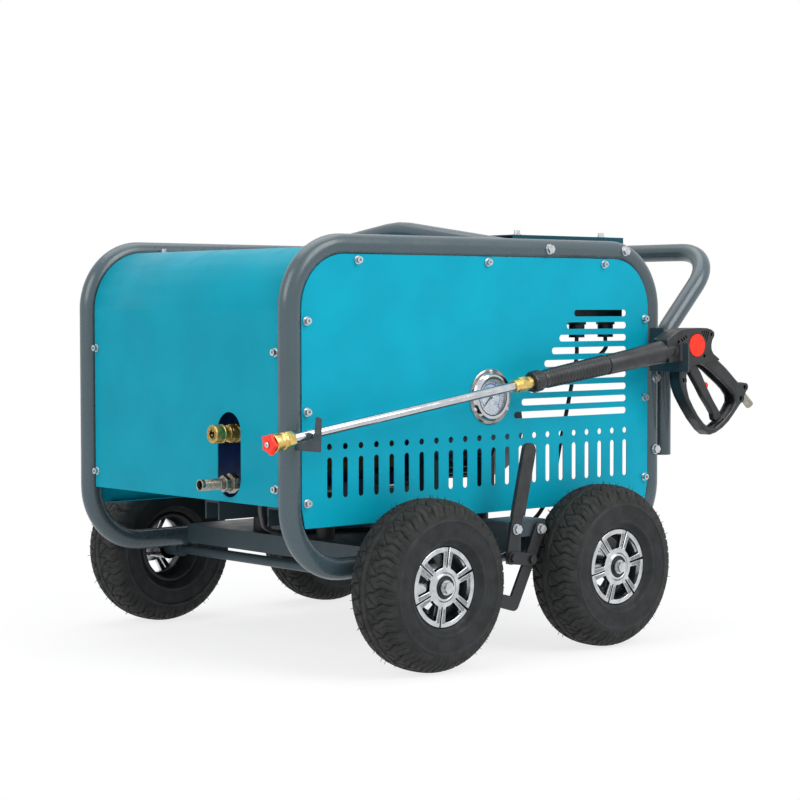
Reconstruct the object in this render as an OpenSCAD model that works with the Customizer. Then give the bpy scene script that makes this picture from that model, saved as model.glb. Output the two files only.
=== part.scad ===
// Electric high pressure washer on a four wheel tube frame, in millimetres.
// +Z is up, the floor is z = 0, -X is the hose end, +X is the handle end and -Y the side with the lance.
// Most modules count x from the uprights at the hose end; at_posts() moves them into the part's own frame.

/* [Frame] */
// Outside diameter of the frame tube
tube_d = 34; // [32:1:36]
// Wall of the frame tube
tube_wall = 2.5; // [2:0.5:4]
// Distance between the two uprights of a side loop
frame_length = 790; // [780:5:840]
// Distance between the two side loops, centre to centre
frame_width = 544; // [536:2:570]
// Height of the top rails' centre line above the floor
frame_top_z = 652; // [646:2:680]
// Bend radius of the loop corners on the tube's centre line
loop_radius = 98; // [90:2:106]

/* [Wheels] */
// Outside diameter of the tyres
tyre_d = 266; // [260:2:270]
// Width of the tyres
tyre_w = 95; // [85:1:97]
// Diameter of the polished rim ring
rim_d = 124; // [118:2:128]
// Diameter of the axle shafts
axle_d = 17; // [16:0.5:20]
// Distance of the first axle from the hose end uprights
axle_x = 200; // [190:5:215]
// Distance between the two axles
wheel_base = 382; // [376:2:400]
// Distance from a side loop's centre plane to the tyre's middle plane
wheel_offset = 88; // [84:1:100]

/* [Base tray] */
// Distance from the hose end uprights to the tray
tray_x = 185; // [175:5:190]
// Length of the tray
tray_len = 415; // [400:5:450]
// Height of the tray's flanges
tray_drop = 32; // [26:1:34]
// Steel thickness of the tray
tray_t = 3; // [2:0.5:4]

/* [Sheet panels] */
// Steel thickness of the covers
sheet_t = 1.5; // [1:0.25:2]
// How far the side panel's face stands outside the loop's centre plane
panel_out = 12; // [8:1:13]
// Distance from the loop's centre line to the panel's edge
panel_edge = 14; // [14:0.5:16]
// Height of the side panel's lower edge above the low rail's centre line
panel_lift = 67; // [60:1:75]
// Distance between the columns of vent holes
vent_pitch = 31; // [28:0.5:32]
// Width of the vertical vent slots and diameter of the holes over them
vent_w = 10; // [7:0.5:12]
// Length of the vertical vent slots
vent_len = 62; // [40:2:70]
// Distance between the level louvre slots
louvre_pitch = 20.75; // [18:0.25:22]
// Height of one louvre slot
louvre_w = 11; // [8:0.5:13]
// Outer bend radius of the end cover
cover_radius = 98; // [80:2:110]
// Width of the end cover
cover_w = 502; // [490:2:504]
// Distance from the uprights' centres to the end cover's outer face
cover_out = 4; // [3:0.5:6]
// Height of the end cover's lower edge above the low rail's centre line
cover_lift = 98; // [90:1:110]
// Height of the roof plate above the top rails' centre line
roof_rise = 24; // [22:1:30]

/* [Push handle and lift bar] */
// Outside diameter of the handle tube
handle_d = 32; // [28:1:34]
// Distance from the handle end uprights to the lower arms
handle_gap = 45; // [42:1:50]
// Reach of the cross bar beyond the handle end uprights
handle_reach = 192; // [180:4:220]
// Height of the cross bar's centre line above the floor
handle_z = 656; // [640:2:680]
// Height of the arms' lower ends above the floor
handle_foot_z = 298; // [280:2:320]
// Rise of the lift bar's middle above the top rails' centre line
lift_rise = 38; // [30:1:60]
// Distance of the lift bar from the hose end uprights
lift_x = 455; // [450:1:458]

/* [Lance and gun] */
// Distance of the lance from the loop's centre plane at the hook
lance_out = 50; // [44:1:60]
// Distance of the gun from the loop's centre plane at its rest
gun_out = 67; // [62:1:75]
// Height of the lance above the low rail's centre line at the hook
hook_rise = 211; // [205:1:225]
// Height of the gun above the low rail's centre line at its rest
rest_rise = 327; // [320:1:335]
// Diameter of the lance tube
lance_d = 14.5; // [10:0.5:15]
// Thickness of the gun's body
gun_t = 38; // [34:1:40]
// Thickness of the steel in the hook and the rest
rest_t = 3; // [2:0.5:4]

/* [Gauge and fittings] */
// Distance of the gauge from the side panel's hose end edge
gauge_x = 386; // [370:2:390]
// Height of the gauge above the side panel's lower edge
gauge_h = 187; // [180:1:200]
// Diameter of the gauge flange
gauge_flange_d = 90; // [84:1:94]
// Diameter of the gauge case
gauge_case_d = 68; // [62:1:72]
// Distance of both hose fittings from the machine's centre plane
port_y = 126; // [115:1:135]
// Height of the outlet coupler above the floor
outlet_z = 363; // [355:1:372]
// Height of the inlet tail above the floor
inlet_z = 286; // [280:1:292]
// Outside diameter of the outlet coupler's sleeve
coupler_d = 29; // [26:1:32]
// Bore of the outlet coupler
coupler_bore = 14; // [12:0.5:16]
// Outside diameter of the inlet hose tail
tail_d = 18; // [16:0.5:20]

/* [Pump and motor] */
// Height of the pump and motor shaft above the floor
shaft_z = 350; // [340:2:360]
// Diameter of the motor shaft
shaft_d = 28; // [24:1:32]
// Outside diameter of the motor over its fins
motor_d = 190; // [176:2:196]
// Length of the motor's finned body
motor_len = 175; // [160:5:180]
// Side of the crankcase across the shaft
crankcase_w = 172; // [160:2:180]

/* [Parking brake] */
// Distance of the brake levers from the loop's centre plane
brake_out = 80; // [74:1:90]
// Distance between the two fixed pivots
brake_pivots = 54; // [50:1:58]
// Width of the brake's flat bars
bar_w = 22; // [18:1:24]
// Thickness of the brake's flat bars
bar_t = 5; // [4:0.5:6]
// Diameter of the brake's pivot bolts
pivot_d = 8; // [6:0.5:9]

/* [Hidden] */
$fn = 48;
// clearances
weld_gap = 0.2;
face_gap = 0.1;
run_gap = 0.05;
body_gap = 0.4;
bolt_gap = 0.2;
// frame
tube_r = tube_d / 2;
axle_z = tyre_d / 2;
rail_z = axle_z + axle_d / 2 + weld_gap + tube_r;
loop_y = frame_width / 2;
inner_y = loop_y - tube_r;
tray_top_z = rail_z + tube_r + 5;
// side panel
panel_w = frame_length - 2 * panel_edge;
panel_z = rail_z + panel_lift;
panel_h = frame_top_z - panel_edge - panel_z;
panel_corner = loop_radius - panel_edge;
// the lower corners are cut off where the loop bends in behind them
panel_cut_h = loop_radius - panel_lift;
panel_cut_w = panel_corner - sqrt(pow(panel_corner, 2) - pow(panel_cut_h, 2));
screw_in = 9;
vent_count = floor((panel_w - 110) / vent_pitch) + 1;
vent_h = 121;
vent_slot_h = 74;
vent_x = (panel_w - (vent_count - 1) * vent_pitch) / 2 - 2;
louvre_rows = 9;
louvre_h = 155;
louvre_end = 54;
louvre_first = 127.5;
louvre_step = 17.5;
panel_in_y = loop_y + panel_out - sheet_t;
tab_t = 3;
tab_w = 25;
// screws of the covers
screw_d = 6;
washer_d = 13.5;
washer_t = 1.5;
screw_head_d = 10;
screw_head_h = 6;
// end cover and roof
cover_top_z = frame_top_z - 2;
cover_z = rail_z + cover_lift;
cover_end = lift_x - handle_d / 2 - 4;
cover_x = -cover_out;
cutout_r = 30;
cutout_low = inlet_z + 8;
cutout_high = outlet_z + 3;
roof_x = lift_x + handle_d / 2 + 9;
roof_end = frame_length - 45;
roof_z = frame_top_z + roof_rise;
roof_t = 2;
roof_flange = 36;
roof_lip = 16;
frame_bolt_d = 8;
// handle
handle_r = handle_d / 2;
arm_x = frame_length + handle_gap;
arm_y = loop_y - 8;
grip_bend = 85;
elbow_z = 505;
bar_x = frame_length + handle_reach;
arm_tilt = atan2(handle_z - elbow_z, bar_x - arm_x);
arm_run = round(norm([bar_x - arm_x, handle_z - elbow_z]));
handle_plate_t = 4;
post_bolt_z = [rail_z + 152, rail_z + 276];
rail_bolt_x = [roof_x + 50, frame_length - 78];
// lance
hook_z = rail_z + hook_rise;
rest_z = rail_z + rest_rise;
rest_x = frame_length - 10;
lance_yaw = -atan2(gun_out - lance_out, rest_x);
lance_flat = norm([rest_x, gun_out - lance_out]);
lance_pitch = atan2(rest_z - hook_z, lance_flat);
rest_u = norm([lance_flat, rest_z - hook_z]);
nozzle_u = -81;
coupler_u = -69;
tube_u = -33;
nut_u = rest_u - 377;
grip_u = nut_u + 38;
body_u = rest_u - 32;
nozzle_tip_r = 4.5;
hook_reach = lance_out + 26;
rest_in = gun_out - 22.3;
rest_mouth = gun_out + 22.3;
rest_outer = rest_mouth + 13;
// whole part
bar_outer_x = arm_x + arm_run * cos(arm_tilt) + handle_r;
nozzle_x = nozzle_u * cos(lance_pitch) * cos(lance_yaw) - nozzle_tip_r * sin(lance_pitch);
post_x = -(bar_outer_x + nozzle_x) / 2;
// wheels
rim_r = rim_d / 2;
wheel_y = loop_y + wheel_offset;
hub_out = 38;
hub_in = 30;
hub_r = 21.5;
hub_bore = axle_d / 2 + run_gap;
bearing_r = hub_r - 4;
bearing_len = 12;
sleeve_r = 14;
wheel_screw_d = 10;
window_count = 6;
// pump and motor
manifold_x = 120;
manifold_len = 190;
manifold_d = 62;
manifold_z = [inlet_z + 11, outlet_z + 24];
crankcase_x = 110;
crankcase_len = 210;
crankcase_h = 176;
bell_x = crankcase_x + crankcase_len;
bell_len = 105;
motor_x = bell_x + bell_len;
fan_len = 58;
fan_x = motor_x + motor_len;
shaft_r = shaft_d / 2;
motor_r = motor_d / 2;
foot_z = shaft_z - 112;
mount_h = 25;
mount_z = tray_top_z + face_gap;
channel_z = mount_z + mount_h + face_gap;
channel_h = foot_z - channel_z - face_gap;
channel_y = 85;
channel_w = 40;
channel_x = 116;
channel_len = 500;
mount_x = [tray_x + 35, tray_x + tray_len - 35];
// control box
box_end = frame_length - 35;
box_x = box_end - 155;
box_y = [-(loop_y - 29), -60];
box_z = 535;
box_top_z = roof_z - roof_t - face_gap;
gland_y = box_y[0] + 14;
gland_x = [box_end - 98, box_end - 27];
gland_d = 30;
gland_len = 30;
switch_z = 600;
switch_y = -150;
// brake, pivots as [x, z]
brake_x = axle_x + wheel_base / 2 - 3;
pivot_a = [brake_x, axle_z + 72];
pivot_b = [brake_x + brake_pivots, axle_z + 69];
pivot_c = pivot_a + [-9, -45];
pivot_d_at = pivot_b + [-22.4, -47.2];
bracket_t = 4;
bracket_x = brake_x - 14;
bracket_top_z = pivot_a[1] + 12;
bracket_low_z = pivot_c[1] - 10;
lever_y = brake_out + body_gap;
link_y = lever_y + bar_t + body_gap;
bolt_y = link_y + 4 + body_gap;
plug_d = 10;
snout_d = 22;
gun_seat_r = 21;
pivot_r = pivot_d / 2;
pivot_hole = pivot_r + run_gap;
lever_lean_x = 29;
lever_back = 1.8;

steel_grey = "#47565c";
teal = "#1fa6bf";

// ---- shared pieces ----

module at_posts() {
    translate([post_x, 0, 0]) children();
}

module near_and_far() {
    children();
    mirror([0, 1, 0]) children();
}

// a cylinder along X, starting at x and running in +X
module rod_x(x, len, d, y = 0, z = 0) {
    translate([x, y, z]) rotate([0, 90, 0]) cylinder(d = d, h = len);
}

// a cylinder along Y, starting at y and running in +Y
module rod_y(y, len, d, x = 0, z = 0) {
    translate([x, y, z]) rotate([-90, 0, 0]) cylinder(d = d, h = len);
}

// a slot outline with round ends along X, centred on the origin
module obround(len, w) {
    square([len - w, w], center = true);
    for (s = [-1, 1]) translate([s * (len - w) / 2, 0]) circle(d = w);
}

module ring_2d(d, wall) {
    difference() {
        circle(d = d);
        circle(d = d - 2 * wall);
    }
}

// a straight tube along Z
module tube_run(len, d, wall) {
    linear_extrude(height = len) ring_2d(d, wall);
}

// a bent tube in the XZ plane about the origin, from angle a0 through turn
module tube_bend(r, a0, turn, d, wall) {
    rotate([90, 0, 0]) rotate([0, 0, a0])
        rotate_extrude(angle = turn) translate([r, 0]) ring_2d(d, wall);
}

// a flat plate in the XZ plane: its outline is [x, z] and its face looks towards -Y
module plate_xz(y, t) {
    translate([0, y + t, 0]) rotate([90, 0, 0]) linear_extrude(height = t) children();
}

// a flat plate in the YZ plane: its outline is [y, z]
module plate_yz(x, t) {
    translate([x, 0, 0]) rotate([90, 0, 90]) linear_extrude(height = t) children();
}

// a flat bar with round ends between two points of the XZ plane
module bar_2d(a, b, w) {
    run = norm(b - a);
    translate(a) rotate(atan2(b[1] - a[1], b[0] - a[0])) {
        translate([0, -w / 2]) square([run, w]);
        circle(d = w);
        translate([run, 0]) circle(d = w);
    }
}

// points of a smooth line through the points p, n steps a piece
function spline_at(p0, p1, p2, p3, t) =
    0.5 * (2 * p1 + (p2 - p0) * t + (2 * p0 - 5 * p1 + 4 * p2 - p3) * t * t
        + (3 * p1 - p0 - 3 * p2 + p3) * t * t * t);
function spline(p, n) = concat(
    [for (i = [0 : len(p) - 2], k = [0 : n - 1])
        spline_at(p[max(i - 1, 0)], p[i], p[i + 1], p[min(i + 2, len(p) - 1)], k / n)],
    [p[len(p) - 1]]);
function unit(v) = v / norm(v);
function heading(p, i) = unit(p[min(i + 1, len(p) - 1)] - p[max(i - 1, 0)]);

// a round cable swept along the points p; side is a direction that the cable never points in
module swept_cable(p, d, side, sides = 10) {
    rings = len(p);
    points = [for (i = [0 : rings - 1])
        let (t = heading(p, i), a = unit(cross(t, side)), b = cross(a, t))
        for (k = [0 : sides - 1]) p[i] + d / 2 * (a * cos(360 * k / sides) + b * sin(360 * k / sides))];
    walls = [for (i = [0 : rings - 2], k = [0 : sides - 1])
        let (a = i * sides + k, b = i * sides + (k + 1) % sides)
        each [[a, b, b + sides], [a, b + sides, a + sides]]];
    caps = [for (k = [1 : sides - 2])
        each [[0, k + 1, k], [(rings - 1) * sides, (rings - 1) * sides + k, (rings - 1) * sides + k + 1]]];
    polyhedron(points = points, faces = concat(walls, caps));
}

// ---- frame ----

module loop_tube() {
    run_x = frame_length - 2 * loop_radius;
    run_z = frame_top_z - rail_z - 2 * loop_radius;
    low_z = rail_z + loop_radius;
    high_z = frame_top_z - loop_radius;
    far_x = frame_length - loop_radius;
    for (z = [rail_z, frame_top_z])
        translate([loop_radius, 0, z]) rotate([0, 90, 0]) tube_run(run_x, tube_d, tube_wall);
    for (x = [0, frame_length])
        translate([x, 0, low_z]) tube_run(run_z, tube_d, tube_wall);
    translate([far_x, 0, low_z]) tube_bend(loop_radius, -90, 90, tube_d, tube_wall);
    translate([far_x, 0, high_z]) tube_bend(loop_radius, 0, 90, tube_d, tube_wall);
    translate([loop_radius, 0, high_z]) tube_bend(loop_radius, 90, 90, tube_d, tube_wall);
    translate([loop_radius, 0, low_z]) tube_bend(loop_radius, 180, 90, tube_d, tube_wall);
}

module near_loop() {
    translate([0, -loop_y, 0]) difference() {
        loop_tube();
        for (x = rail_bolt_x) rod_y(-tube_d, 2 * tube_d, frame_bolt_d + 2 * bolt_gap, x, frame_top_z);
        for (z = post_bolt_z) rod_y(-tube_d, 2 * tube_d, frame_bolt_d + 2 * bolt_gap, frame_length, z);
    }
}

module side_loop_near() {
    color(steel_grey) at_posts() near_loop();
}

module side_loop_far() {
    color(steel_grey) at_posts() mirror([0, 1, 0]) near_loop();
}

module base_tray() {
    w = 2 * (inner_y - weld_gap);
    color(steel_grey) at_posts() difference() {
        translate([tray_x, -w / 2, tray_top_z - tray_drop]) cube([tray_len, w, tray_drop]);
        translate([tray_x + tray_t, -w / 2 + tray_t, tray_top_z - tray_drop - 1])
            cube([tray_len - 2 * tray_t, w - 2 * tray_t, tray_drop - tray_t + 1]);
        for (x = mount_x, y = [-channel_y, channel_y])
            translate([x, y, tray_top_z - 2 * tray_t]) cylinder(d = 9, h = 4 * tray_t);
    }
}

// each shaft carries a spacer sleeve between the rail and each wheel hub
module axle_shafts() {
    sleeve_y = loop_y + tube_r + 2;
    sleeve_len = wheel_y - hub_in - body_gap - sleeve_y;
    end_y = wheel_y + hub_out + 0.2;
    color(steel_grey) at_posts() for (x = [axle_x, axle_x + wheel_base]) difference() {
        union() {
            rod_y(-end_y, 2 * end_y, axle_d, x, axle_z);
            near_and_far() rod_y(sleeve_y, sleeve_len, 2 * sleeve_r, x, axle_z);
        }
        near_and_far() rod_y(end_y - 30, 31, wheel_screw_d + 2 * run_gap, x, axle_z);
    }
}

// two straight runs mitred at the middle, solid first and then bored, coped onto the top rails
module lift_bar_run(d, more = 0) {
    lean = atan2(lift_rise, loop_y);
    near_and_far() translate([lift_x, 0, frame_top_z + lift_rise]) difference() {
        rotate([-90 - lean, 0, 0]) translate([0, 0, -d]) cylinder(d = d, h = loop_y / cos(lean) + d + more);
        translate([-d, -3 * d, -2 * d]) cube([2 * d, 3 * d, 4 * d]);
    }
}

module lift_bar() {
    color(steel_grey) at_posts() difference() {
        lift_bar_run(handle_d);
        lift_bar_run(handle_d - 2 * tube_wall, 20);
        near_and_far() rod_x(lift_x - handle_d, 2 * handle_d, tube_d + 2 * weld_gap, loop_y, frame_top_z);
        near_and_far() translate([lift_x - handle_d, loop_y - 6, frame_top_z - handle_d])
            cube([2 * handle_d, tube_d, 3 * handle_d]);
    }
}

// a U of tube with its arms bent towards the frame, and a bolting plate welded to each arm
module handle_run(d) {
    near_and_far() translate([arm_x, -arm_y, 0]) {
        translate([0, 0, handle_foot_z]) cylinder(d = d, h = elbow_z - handle_foot_z);
        translate([0, 0, elbow_z]) {
            sphere(d = d + 0.4);
            rotate([0, -arm_tilt, 0]) {
                rotate([0, 90, 0]) cylinder(d = d, h = arm_run - grip_bend);
                translate([arm_run - grip_bend, grip_bend, 0]) rotate([0, 0, -90])
                    rotate_extrude(angle = 90) translate([grip_bend, 0]) circle(d = d);
                translate([arm_run, grip_bend, 0]) rotate([-90, 0, 0]) cylinder(d = d, h = arm_y - grip_bend);
            }
        }
    }
}

module handle_plate() {
    low = post_bolt_z[0] - 16;
    high = post_bolt_z[1] + 16;
    y = -inner_y + weld_gap;
    difference() {
        translate([frame_length - 18, y, low]) cube([handle_gap + 18, handle_plate_t, high - low]);
        translate([arm_x, -arm_y, low - 1]) cylinder(d = handle_d + 2 * weld_gap, h = high - low + 2);
        translate([arm_x, y - 1, low - 1]) cube([handle_d, handle_plate_t + 2, high - low + 2]);
        for (z = post_bolt_z) rod_y(y - 1, handle_plate_t + 2, frame_bolt_d + 2 * bolt_gap, frame_length, z);
    }
}

module push_handle() {
    color(steel_grey) at_posts() {
        difference() {
            handle_run(handle_d);
            handle_run(handle_d - 2 * tube_wall);
            near_and_far() translate([arm_x, -arm_y, handle_foot_z - 1])
                cylinder(d = handle_d - 2 * tube_wall, h = 5);
        }
        near_and_far() handle_plate();
    }
}

// a hex head bolt along Y with its washer and nut; the head looks towards -Y
module hex_bolt(x, y, z, grip, d = frame_bolt_d) {
    translate([x, y, z]) rotate([-90, 0, 0]) {
        translate([0, 0, -1.6]) cylinder(d = 2 * d + 1, h = 1.6 - face_gap);
        translate([0, 0, -1.6 - 0.7 * d]) cylinder(d = 1.85 * d, h = 0.7 * d, $fn = 6);
        translate([0, 0, -1.6]) cylinder(d = d, h = grip + 0.8 * d + 2.6);
        translate([0, 0, grip + face_gap]) cylinder(d = 1.85 * d, h = 0.8 * d, $fn = 6);
    }
}

// rail and upright bolts on both sides, and the brake's two fixed pivots
module hex_bolts() {
    outer = loop_y + tube_r;
    color("silver") at_posts() {
        near_and_far() {
            for (x = rail_bolt_x) hex_bolt(x, -outer, frame_top_z, tube_d + weld_gap + roof_t);
            for (z = post_bolt_z) hex_bolt(frame_length, -outer, z, tube_d + weld_gap + handle_plate_t);
        }
        for (p = [pivot_a, pivot_b])
            hex_bolt(p[0], -(loop_y + link_y), p[1], bar_t + bracket_t + 2 * body_gap, pivot_d);
    }
}

// ---- covers ----

// screw places of a side panel as [x, z, direction to the tube]
panel_screw_at = concat(
    [for (x = [123, frame_length / 2, frame_length - 125]) [x, frame_top_z - panel_edge - screw_in, 90]],
    [for (z = [38, 175, 311]) [panel_edge + screw_in, panel_z + z, 180]],
    [for (z = [38, 175, 311]) [frame_length - panel_edge - screw_in, panel_z + z, 0]]);

cover_screw_y = cover_w / 2 - 6;
cover_screw_z = [cover_z + 27, cover_z + 233];
cover_screw_x = [133, 380];
roof_screw_x = [roof_x + 17, roof_end - 48];

module side_panel_outline() {
    polygon([[panel_cut_w, 0], [panel_w - panel_cut_w, 0], [panel_w, panel_cut_h],
        [panel_w, panel_h - panel_corner], [0, panel_h - panel_corner], [0, panel_cut_h]]);
    translate([panel_corner, 0]) square([panel_w - 2 * panel_corner, panel_h]);
    for (x = [panel_corner, panel_w - panel_corner])
        translate([x, panel_h - panel_corner]) circle(r = panel_corner);
}

module side_panel_vents() {
    for (i = [0 : vent_count - 1]) translate([vent_x + i * vent_pitch, 0]) {
        translate([0, vent_h]) circle(d = vent_w);
        translate([0, vent_slot_h]) rotate(90) obround(vent_len, vent_w);
    }
    for (i = [0 : louvre_rows - 1])
        let (len = louvre_first + louvre_step * i,
            h = louvre_h + louvre_pitch * (louvre_rows - 1 - i))
        translate([panel_w - louvre_end - len / 2, h]) obround(len, louvre_w);
}

module side_panel(gauge) {
    lip = 12;
    plate_xz(-(loop_y + panel_out), sheet_t) translate([panel_edge, panel_z]) difference() {
        side_panel_outline();
        side_panel_vents();
        for (s = panel_screw_at)
            translate([s[0] - panel_edge, s[1] - panel_z]) circle(d = screw_d + 2 * bolt_gap);
        if (gauge) translate([gauge_x, gauge_h]) circle(d = gauge_case_d + 1);
    }
    translate([panel_edge + 30, -panel_in_y - sheet_t / 2, panel_z])
        cube([panel_w - 60, lip, sheet_t]);
}

module side_panel_near() {
    color(teal) at_posts() side_panel(true);
}

module side_panel_far() {
    color(teal) at_posts() mirror([0, 1, 0]) side_panel(false);
}

module end_cover() {
    bend_x = cover_x + cover_radius;
    bend_z = cover_top_z - cover_radius;
    inner = cover_radius - sheet_t;
    color(teal) at_posts() difference() {
        translate([0, -cover_w / 2, 0]) {
            translate([cover_x, 0, cover_z]) cube([sheet_t, cover_w, bend_z - cover_z]);
            translate([bend_x, cover_w, bend_z]) rotate([90, 0, 0]) rotate([0, 0, 90])
                rotate_extrude(angle = 90) translate([inner, 0]) square([sheet_t, cover_w]);
            translate([bend_x, 0, cover_top_z - sheet_t]) cube([cover_end - bend_x, cover_w, sheet_t]);
        }
        translate([cover_x - 1, -port_y, 0]) {
            for (z = [cutout_low, cutout_high]) rod_x(0, 2 + sheet_t, 2 * cutout_r, 0, z);
            translate([0, -cutout_r, cutout_low]) cube([2 + sheet_t, 2 * cutout_r, cutout_high - cutout_low]);
        }
        for (y = [-cover_screw_y, cover_screw_y]) {
            for (z = cover_screw_z) rod_x(cover_x - 1, 2 + sheet_t, screw_d + 2 * bolt_gap, y, z);
            for (x = cover_screw_x) translate([x, y, cover_top_z - sheet_t - 1])
                cylinder(d = screw_d + 2 * bolt_gap, h = sheet_t + 2);
        }
    }
}

module roof_plate() {
    w = 2 * (inner_y - weld_gap);
    len = roof_end - roof_x;
    color("#2c4a50") at_posts() difference() {
        union() {
            translate([roof_x, -w / 2, roof_z - roof_t]) cube([len, w, roof_t]);
            near_and_far() translate([roof_x, -w / 2, roof_z - roof_flange])
                cube([len, roof_t, roof_flange]);
            translate([roof_end - roof_t, -w / 2, roof_z - roof_lip]) cube([roof_t, w, roof_lip]);
        }
        for (x = rail_bolt_x)
            rod_y(-inner_y - 5, 2 * inner_y + 10, frame_bolt_d + 2 * bolt_gap, x, frame_top_z);
        for (x = roof_screw_x, y = [-inner_y + 8, inner_y - 8])
            translate([x, y, roof_z - 2 * roof_t]) cylinder(d = screw_d + 2 * bolt_gap, h = 4 * roof_t);
        // the end lip is open over the control box
        translate([roof_end - 2 * roof_t, box_y[0] - body_gap, roof_z - roof_lip - 1])
            cube([3 * roof_t, box_y[1] - box_y[0] + 2 * body_gap, roof_lip + 1 - roof_t]);
    }
}

// a welded tab behind a side panel's screw, coped to the tube it sits on
module side_tab(s) {
    reach = panel_edge + screw_in;
    wide = abs(cos(s[2])) > 0.5;
    y = -panel_in_y + face_gap;
    translate([s[0], y, s[1]]) rotate([0, -s[2], 0])
        translate([-10, 0, -tab_w / 2]) cube([reach + 10, tab_t, tab_w]);
}

module near_side_tabs() {
    difference() {
        for (s = panel_screw_at) side_tab(s);
        for (x = [0, frame_length]) translate([x, -loop_y, 0]) cylinder(r = tube_r + weld_gap, h = 2000);
        rod_x(-100, 2000, tube_d + 2 * weld_gap, -loop_y, frame_top_z);
        for (s = panel_screw_at) rod_y(-panel_in_y - 1, tab_t + 3, screw_d + 2 * run_gap, s[0], s[1]);
    }
}

module cover_tabs() {
    reach = inner_y - weld_gap - cover_screw_y + 9;
    for (z = cover_screw_z) difference() {
        translate([cover_x + sheet_t + face_gap, cover_screw_y - 9, z - tab_w / 2]) cube([tab_t, reach, tab_w]);
        rod_x(-10, 20, screw_d + 2 * run_gap, cover_screw_y, z);
    }
    for (x = cover_screw_x) difference() {
        translate([x - tab_w / 2, cover_screw_y - 9, cover_top_z - sheet_t - face_gap - tab_t])
            cube([tab_w, reach, tab_t]);
        translate([x, cover_screw_y, cover_top_z - 20]) cylinder(d = screw_d + 2 * run_gap, h = 30);
    }
}

module panel_tabs() {
    color(steel_grey) at_posts() near_and_far() {
        near_side_tabs();
        cover_tabs();
    }
}

// a socket head screw with its washer, along Z, its head up and its seat at z = 0
module panel_screw(len = 10) {
    translate([0, 0, face_gap]) cylinder(d = washer_d, h = washer_t);
    difference() {
        translate([0, 0, washer_t]) cylinder(d = screw_head_d, h = screw_head_h);
        translate([0, 0, washer_t + screw_head_h - 3]) cylinder(d = 5.6, h = 4, $fn = 6);
    }
    translate([0, 0, -len]) cylinder(d = screw_d, h = len + washer_t + face_gap);
}

module panel_screws() {
    color("silver") at_posts() {
        near_and_far() {
            for (s = panel_screw_at)
                translate([s[0], -(loop_y + panel_out), s[1]]) rotate([90, 0, 0]) panel_screw();
            for (z = cover_screw_z)
                translate([cover_x, cover_screw_y, z]) rotate([0, -90, 0]) panel_screw();
            for (x = cover_screw_x) translate([x, cover_screw_y, cover_top_z]) panel_screw();
            for (x = roof_screw_x) translate([x, inner_y - 8, roof_z]) panel_screw(6);
        }
    }
}

// ---- lance holders ----

// a J shaped plate on the upright; its outline counts y away from the loop's centre plane
module lance_hook() {
    seat = hook_z - lance_d / 2 - 0.5;
    lip = hook_z + 27;
    low = hook_z - 25;
    color(steel_grey) at_posts() translate([-rest_t / 2, -loop_y, 0]) rotate([90, 0, 90])
        linear_extrude(height = rest_t) difference() {
            polygon([[-8, low], [-hook_reach + 2, low], [-hook_reach, lip - 3], [-hook_reach + 5, lip],
                [-hook_reach + 12, lip - 1], [-lance_out - 11, hook_z + 5], [-lance_out - 8, hook_z - 3.5],
                [-lance_out - 3.5, seat], [-lance_out + 4, seat - 0.6], [-lance_out + 15, seat - 3.5],
                [-8, seat - 9]]);
            translate([-tube_r - weld_gap, 0]) square([tube_d, 1200]);
        }
}

// a U shaped plate that the gun's barrel drops into
module gun_rest() {
    seat = rest_z - gun_seat_r - 0.5;
    low = seat - 18;
    corner = 3;
    from_post = frame_length - rest_x - rest_t / 2;
    rest_chord = sqrt(pow(tube_r + weld_gap, 2) - from_post * from_post);
    color(steel_grey) at_posts() translate([rest_x - rest_t / 2, -loop_y, 0]) rotate([90, 0, 90])
        linear_extrude(height = rest_t) difference() {
            union() {
                translate([-rest_outer, low]) square([rest_outer, rest_z + 10 - low]);
                translate([-rest_in, low]) square([rest_in, rest_z + 35 - low]);
            }
            translate([-rest_mouth + corner, seat]) square([rest_mouth - rest_in - 2 * corner, 90]);
            translate([-rest_mouth, seat + corner]) square([rest_mouth - rest_in, 90]);
            for (y = [-rest_mouth + corner, -rest_in - corner])
                translate([y, seat + corner]) circle(r = corner);
            translate([-rest_chord, 0]) square([tube_d, 1200]);
        }
}

// ---- gauge ----

gauge_at = [panel_edge + gauge_x, -(loop_y + panel_out), panel_z + gauge_h];
gauge_bezel_r = gauge_case_d / 2 + 3;
dial_r = gauge_case_d / 2 - 4;

module at_gauge() {
    at_posts() translate(gauge_at) rotate([90, 0, 0]) children();
}

// cup behind the panel, flange on it and a rolled bezel in front
module gauge_case() {
    wall = 2;
    depth = 32;
    case_r = gauge_case_d / 2;
    flange_r = gauge_flange_d / 2;
    color("#d8dadd") at_gauge() difference() {
        rotate_extrude() polygon([[0, -depth], [case_r - 3, -depth], [case_r, -depth + 3], [case_r, face_gap],
            [flange_r, face_gap], [flange_r, 1.6], [flange_r - 1, 2.4], [gauge_bezel_r + 2, 2.8],
            [gauge_bezel_r, 6], [gauge_bezel_r - 1.5, 8], [gauge_bezel_r - 4, 8.8], [dial_r - 1, 8],
            [dial_r - 1, 6.5], [dial_r + 1, 6.5], [dial_r + 1, -depth + wall], [0, -depth + wall]]);
        for (a = [90, 210, 330]) rotate([0, 0, a]) translate([flange_r - 4.5, 0, -1]) cylinder(d = 3.4, h = 6);
        translate([0, 0, -depth - 1]) cylinder(d = 7, h = 5);
    }
}

module gauge_dial() {
    color("#e6edf2") at_gauge() difference() {
        translate([0, 0, 0.5]) cylinder(r = dial_r + 0.9, h = 1);
        cylinder(d = 3 + 2 * run_gap, h = 3);
    }
}

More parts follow.
